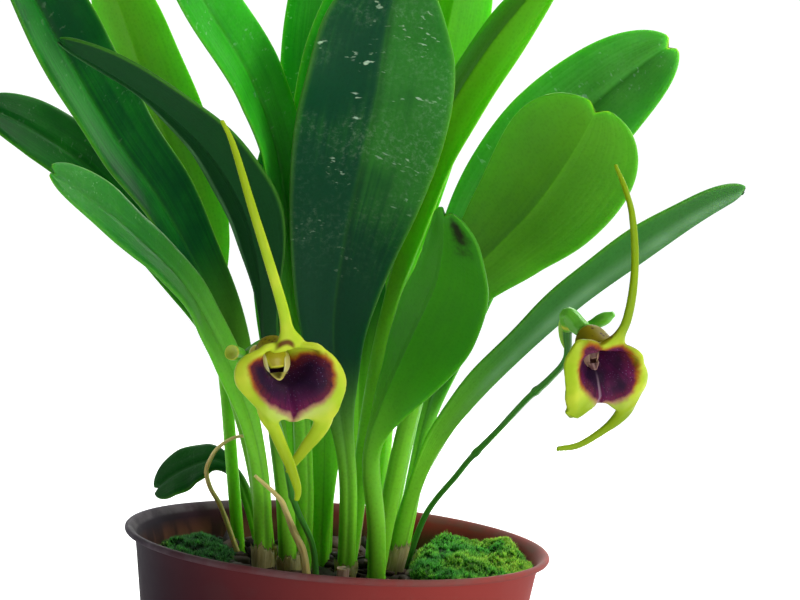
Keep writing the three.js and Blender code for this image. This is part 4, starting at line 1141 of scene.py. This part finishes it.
barkShape = {
    "seed": 11, "top": 59.4, "bottom": 1.95, "lump": 1.3, "around": 120, "rings": 90, "clear": 0.15, "chips": 420,
    "size": (4.2, 2.4, 1.1), "reach": 34.6, "templates": 24, "tilt": 0.28, "rise": (0.2, 1.9),
}
barkLook = {
    "chips": [
        (0.0, (0.012, 0.008, 0.006)), (0.45, (0.025, 0.016, 0.01)), (0.8, (0.07, 0.04, 0.022)), (1.0, (0.15, 0.1, 0.06)),
    ],
    "fibre": (0.01, 0.007, 0.005), "damp": (0.015, 0.022, 0.008),
}

def makeBarkMaterial():
    material, board, shader = newMaterial("barkChips", Specular_IOR_Level=0.2)
    place = board.place()
    fibre = board.noise(board.stretched(place, (900.0, 260.0, 900.0)), 1.0, 4.0, 0.6)
    damp = board.noise(place, 60.0)
    colour = board.ramp(board.attribute("tint"), barkLook["chips"])
    colour = board.mix(board.rescale(fibre, 0.35, 0.7, 0.0, 0.6), colour, board.mix(0.6, colour, barkLook["fibre"]))
    colour = board.mix(board.rescale(damp, 0.45, 0.65) * 0.45, colour, barkLook["damp"])
    finishMaterial(board, shader, colour, board.rescale(damp, 0.3, 0.7, 0.9, 0.6), fibre, strength=0.6, depth=0.4)
    return material

def chipTemplate(draw):
    bm = bmesh.new()
    tint = bm.verts.layers.float.new("tint")
    bmesh.ops.create_cube(bm, size=1.0)
    bmesh.ops.subdivide_edges(bm, edges=bm.edges, cuts=1, use_grid_fill=True)
    shift, shade = draw.uniform(0, 40), min(1.0, max(0.0, draw.gauss(0.45, 0.25)))
    for vert in bm.verts:
        wobble = noise.noise_vector(vert.co * 1.7 + Vector((shift, 0, 0)))
        vert.co = vert.co * (1.0 - 0.16 * (vert.co.length / 0.87) ** 2) + wobble * 0.16
        vert[tint] = shade
    return toMesh("chipTemplate", bm)

def tossed(draw, tilt, axes):  # a turn to any side, tilted a little
    spin = Matrix.Rotation(draw.uniform(*anyTurn), 4, "Z")
    for axis in axes:
        spin = spin @ Matrix.Rotation(draw.gauss(0, tilt), 4, axis)
    return spin

def addCopies(bm, templates, places):  # one template after another, each set in its place
    for i, place in enumerate(places):
        template = templates[i % len(templates)]
        template.transform(place)
        bm.from_mesh(template)
        template.transform(place.inverted())
    for template in templates:
        bpy.data.meshes.remove(template)

def makeBark():
    shape = barkShape
    draw = random.Random(shape["seed"])
    noise.seed_set(shape["seed"])  # or the chips' noise vectors follow the clock
    bm = bmesh.new()
    tint = bm.verts.layers.float.new("tint")
    ball = bmesh.ops.create_uvsphere(bm, u_segments=shape["around"], v_segments=shape["rings"], radius=1.0)["verts"]
    for vert in ball:  # the ball's upper part becomes the lumpy top, and the rest the side and the bottom
        if vert.co.z > -0.2:
            level = shape["top"] + shape["lump"] * noise.fractal(vert.co * 9, 0.9, 2.0, 3)
            share = min(1.0, (math.hypot(vert.co.x, vert.co.y) ** 0.8) * 1.02)
        else:
            level = between(shape["bottom"], 40, easing(-1.0, -0.2, vert.co.z))
            share = min(1.0, (1 + vert.co.z) * 6)
        limit = potRadius(level) - potShape["wall"] - shape["clear"]
        vert.co = polar(limit * share, math.atan2(vert.co.y, vert.co.x), level)
        vert[tint] = 0.12 + 0.2 * noise.noise(vert.co * 0.4)
    places = []
    for i in range(shape["chips"]):
        turn, reach = draw.uniform(*anyTurn), shape["reach"] * math.sqrt(draw.random())
        grow = draw.uniform(0.5, 1.5)
        size = [side * grow * draw.uniform(0.7, 1.25) for side in shape["size"]]
        spin = tossed(draw, shape["tilt"], "XY")
        level = shape["top"] + draw.uniform(*shape["rise"])
        spot = polar(min(reach, shape["reach"] - size[0] * 0.5), turn, level)
        places.append(Matrix.Translation(spot) @ spin @ Matrix.Diagonal((*size, 1)))
    addCopies(bm, [chipTemplate(draw) for i in range(shape["templates"])], places)
    addPiece(bm, makeBarkMaterial(), "bark", "barkBed")

makeBark()
print("bark ready")


# moss: soft cushions covered in small leafy shoots

mossShape = {
    "level": 59.5, "foot": 59.0, "around": 96, "rings": 64, "clear": 0.4, "templates": 16, "tilt": 0.25, "sink": 0.6,
    "leaves": 7, "leans": (0.2, 0.75, 1.05), "tuft": (0.13, 0.15, 0.02),
}
mossList = [
    {
        "node": "moss_right", "slot": "moss", "centre": (28.5, 6), "reach": (14.5, 31), "rise": 6.6, "shoots": 4600,
        "lumps": 0.17, "low": (0.003, 0.02, 0.006), "high": (0.055, 0.32, 0.008),
    },
    # painted shade: the left moss is a darker copy of the right moss's colours
    {
        "node": "moss_left", "slot": "shade_moss", "centre": (-27.4, 2), "reach": (8, 22), "rise": 3.6,
        "shoots": 2000, "lumps": 0.2, "low": (0.002, 0.008, 0.006), "high": (0.009, 0.04, 0.01),
    },
]

def makeMossMaterial(name, low, high):
    material, board, shader = newMaterial(name, (0.35, (0.4, 1.0, 0.15), 0.001), Specular_IOR_Level=0.2)
    place = board.place()
    patch = board.noise(place, 110.0, 3.0)
    x, y, z = board.split(place)
    # painted shade: the moss is darker towards the middle of the pot, under the leaves
    tone = board.attribute("tint") * board.rescale(abs(x), 0.017, 0.031, 0.4, 1.0)
    tone = board.maths("MULTIPLY", tone, board.rescale(patch, 0.38, 0.62, 0.12, 1.15), clamp=True)
    colour = board.mix(board.rescale(patch, 0.62, 0.75) * 0.3, board.mix(tone, low, high), mossShape["tuft"])
    finishMaterial(board, shader, colour, 0.75, board.noise(place, 900.0, 3.0), strength=0.6, depth=0.4)
    return material

def bedSpot(bed, right, back):  # a place of the bed, kept inside the pot, with the moss's height there
    def top():
        across, deep = ((at - middle) / reach for at, middle, reach in zip((x, y), bed["centre"], bed["reach"]))
        far = math.sqrt(across * across + deep * deep)
        swell = math.sqrt(max(0.0, 1 - far ** 4))
        lump = noise.noise(Vector((x * bed["lumps"], y * bed["lumps"], 7.0)))
        lump += 0.4 * noise.noise(Vector((x * 0.6, y * 0.6, 2.0)))
        return mossShape["level"] + bed["rise"] * swell * (0.88 + 0.42 * lump)
    x, y = (middle + reach * share for middle, reach, share in zip(bed["centre"], bed["reach"], (right, back)))
    limit = potRadius(top()) - potShape["wall"] - mossShape["clear"]
    far = math.hypot(x, y)
    if far >= limit:
        x, y = x * limit / far, y * limit / far
    return x, y, top()

def shootTemplate(draw):
    shape = mossShape
    bm = bmesh.new()
    tint = bm.verts.layers.float.new("tint")
    shade = draw.uniform(0.35, 0.85)
    for i in range(shape["leaves"]):
        turn = 6.28 * i / shape["leaves"] + draw.uniform(-0.3, 0.3)
        lean = shape["leans"][i % 3] + draw.uniform(-0.15, 0.15)
        aim = Vector(polar(math.sin(lean), turn, math.cos(lean)))
        side = aim.cross(Vector((0, 0, 1))).normalized()
        root = aim * 0.1
        corners = [root + side * 0.16, root - side * 0.16, root + side.cross(aim) * 0.09, root + aim * 0.95]
        made = [bm.verts.new(corner) for corner in corners]
        for triple in ((0, 1, 2), (0, 3, 1), (1, 3, 2), (2, 3, 0)):
            bm.faces.new([made[corner] for corner in triple])
    for vert in bm.verts:
        vert[tint] = min(1.0, shade + 0.35 * (vert.co.length - 0.3))
    bmesh.ops.recalc_face_normals(bm, faces=bm.faces)
    return toMesh("shootTemplate", bm)

def makeMoss(bed, seed):
    shape = mossShape
    draw = random.Random(seed)
    bm = bmesh.new()
    tint = bm.verts.layers.float.new("tint")
    ball = bmesh.ops.create_uvsphere(bm, u_segments=shape["around"], v_segments=shape["rings"], radius=1.0)["verts"]
    for vert in ball:
        x, y, level = bedSpot(bed, vert.co.x, vert.co.y)
        vert.co = (x, y, level - 0.5 if vert.co.z >= 0 else shape["foot"] + 1.2 * vert.co.z)
        vert[tint] = 0.1
    places = []
    for i in range(bed["shoots"]):
        turn, reach = draw.uniform(*anyTurn), math.sqrt(draw.random()) * 0.99
        x, y, level = bedSpot(bed, reach * math.cos(turn), reach * math.sin(turn))
        spin = tossed(draw, shape["tilt"], "X")
        grow = Matrix.Scale(draw.uniform(0.8, 1.5), 4)
        places.append(Matrix.Translation((x, y, level - shape["sink"])) @ spin @ grow)
    addCopies(bm, [shootTemplate(draw) for i in range(shape["templates"])], places)
    addPiece(bm, makeMossMaterial(pieceName(bed["node"]), bed["low"], bed["high"]), bed["node"])

for seed, bed in enumerate(mossList, 21):
    makeMoss(bed, seed)
print("moss ready")


# papery sheaths round five of the stems, dry stalks and a cut stem

sheathShape = {"below": 2.5, "inner": 1.8, "flare": 0.35, "thick": 0.2, "lap": 0.5, "around": 72, "rows": 64}
sheathList = [
    {"node": "sheath_left_low", "leaf": "leaf_left_low", "tall": 6.0, "ragged": 2.2},
    {"node": "sheath_left_arching", "leaf": "leaf_left_arching", "tall": 4.2, "ragged": 1.8},
    {"node": "sheath_front_centre", "leaf": "leaf_front_centre", "tall": 2.6, "ragged": 1.4},
    {"node": "sheath_right_low", "leaf": "leaf_right_low", "tall": 7.0, "ragged": 2.8},
    {"node": "sheath_rear_centre", "leaf": "leaf_rear_centre", "tall": 11.0, "ragged": 3.2},
]
dryShape = {"around": 28, "rows": 110, "crumple": 0.14, "ribs": 0.08, "cutFrom": 0.97, "cutDepth": 0.5}
dryList = [
    {
        "node": "dry_stalk_front", "look": "dryStraw", "foot": (-4.6, -10), "radius": [0.95, 0.8, 0.7, 0.5, 0.3],
        "path": [(-6, -10.3, 66.2), (-7.9, -11, 69.9), (-9.6, -11, 73.4), (-11.2, -12, 76.2), (-15.6, -14, 80)],
    },
    {
        "node": "dry_stalk_back", "look": "dryStraw", "foot": (-19.6, 14), "radius": [0.6, 0.5, 0.46, 0.4, 0.28],
        "path": [
            (-23.6, 13.5, 69), (-26, 12, 73.2), (-26.9, 11, 76.4), (-26.2, 10, 79.1), (-24.7, 9, 81.6),
            (-21.9, 8, 83.8), (-19.1, 8, 84.5),
        ],
    },
    {
        "node": "cut_stem", "look": "cutPith", "foot": (1.5, -6.8), "radius": [1.15, 1.12, 1.1, 1.12, 1.15],
        "path": [(1.5, -7, 61.4), (1.5, -7.1, 63.4)],
    },
]
paperLooks = {  # pale and brown
    "paperSheath": ((0.4, 0.36, 0.17), (0.26, 0.25, 0.07)), "dryStraw": ((0.78, 0.68, 0.26), (0.6, 0.5, 0.16)),
    "cutPith": ((0.55, 0.4, 0.32), (0.35, 0.2, 0.12)),
}
soilStain = (0.1, 0.07, 0.04)

def makePaperMaterial(name, pale, brown):
    material, board, shader = newMaterial(name, (0.35, (1.0, 0.7, 0.3), 0.001))
    reach, around = board.attribute("reach"), board.attribute("around")
    fibre = board.noise(board.joined(around * 60.0, reach * 4.0), 1.0, 3.0, 0.6)
    blotch = board.noise(board.place(), 160.0, 3.0)
    colour = board.mix(board.rescale(fibre, 0.3, 0.7), brown, pale)
    colour = board.mix(board.rescale(blotch, 0.5, 0.7) * 0.5, colour, brown)
    colour = board.mix(board.rescale(reach, 0.25, 0.0), colour, soilStain)
    finishMaterial(board, shader, colour, blotch * 0.3 + 0.5, fibre, strength=0.3, depth=0.2)
    return material

def makeSheath(sheath, material, seed):
    shape, tall = sheathShape, sheath["tall"]
    leaf = next(leaf for leaf in leafList if leaf["node"] == sheath["leaf"])
    run = Run(rooted(leaf["foot"], leaf["rib"]))
    draw = random.Random(seed)
    shift, split = draw.uniform(0, 50), draw.uniform(*anyTurn)
    def place(turn, row):
        share = 1 - abs(2 * row - 1)
        jagged = noise.noise(Vector(polar(2.2, turn, shift))) + 0.6 * noise.noise(Vector(polar(7, turn, shift)))
        apart = abs((turn - split + math.pi) % (2 * math.pi) - math.pi)
        height = shape["below"] + tall + sheath["ragged"] * jagged - 0.35 * tall * bell(apart, 0.35)
        lift = stemDepth - shape["below"] + height * share
        spot, heading, up, across = run.frame(lift / run.length, (0.3, 1, 0.1))
        thick = shape["thick"] * (1 - (2 * min(1.0, share * 1.05) - 1) ** 8) / 2 * (1 if row < 0.5 else -1)
        wrinkle = 0.1 * noise.noise(Vector(polar(5, turn, lift * 0.15 + shift)))
        radius = shape["inner"] + shape["thick"] / 2 + shape["flare"] * share ** 2 + thick + wrinkle
        radius += shape["lap"] * bell(apart - 0.4, 0.3) * share ** 3
        return spot + across * radius * math.sin(turn) + up * radius * math.cos(turn), share, turn / 6.283
    bm = bmesh.new()
    addSkin(bm, shape["around"], shape["rows"], place, ("reach", "around"))
    addPiece(bm, material, sheath["node"])

def makeDryPiece(dry, material):
    shape = dryShape
    run = Run(rooted(dry["foot"], dry["path"]))
    placing = roundedStem(run, dry["radius"])
    def place(turn, row):
        spot, share, side = placing(turn, row)
        middle = run.spot(share)
        ridge = noise.noise(Vector((spot.z * 0.5, 2 * math.cos(turn), 2 * math.sin(turn))))
        spot = middle + (spot - middle) * (1 + shape["crumple"] * ridge + shape["ribs"] * math.cos(5 * turn))
        if dry["node"] == "cut_stem" and row > shape["cutFrom"]:
            spot = spot - run.heading(1.0) * shape["cutDepth"] * easing(shape["cutFrom"], 1.0, row)
        return spot, between(0.4, 1.0, share), turn / 6.283
    bm = bmesh.new()
    addSkin(bm, shape["around"], shape["rows"], place, ("reach", "around"))
    addPiece(bm, material, dry["node"])

papers = {name: makePaperMaterial(name, *look) for name, look in paperLooks.items()}
for seed, sheath in enumerate(sheathList, 5):
    makeSheath(sheath, papers["paperSheath"], seed)
for dry in dryList:
    makeDryPiece(dry, papers[dry["look"]])
print("dry pieces ready")
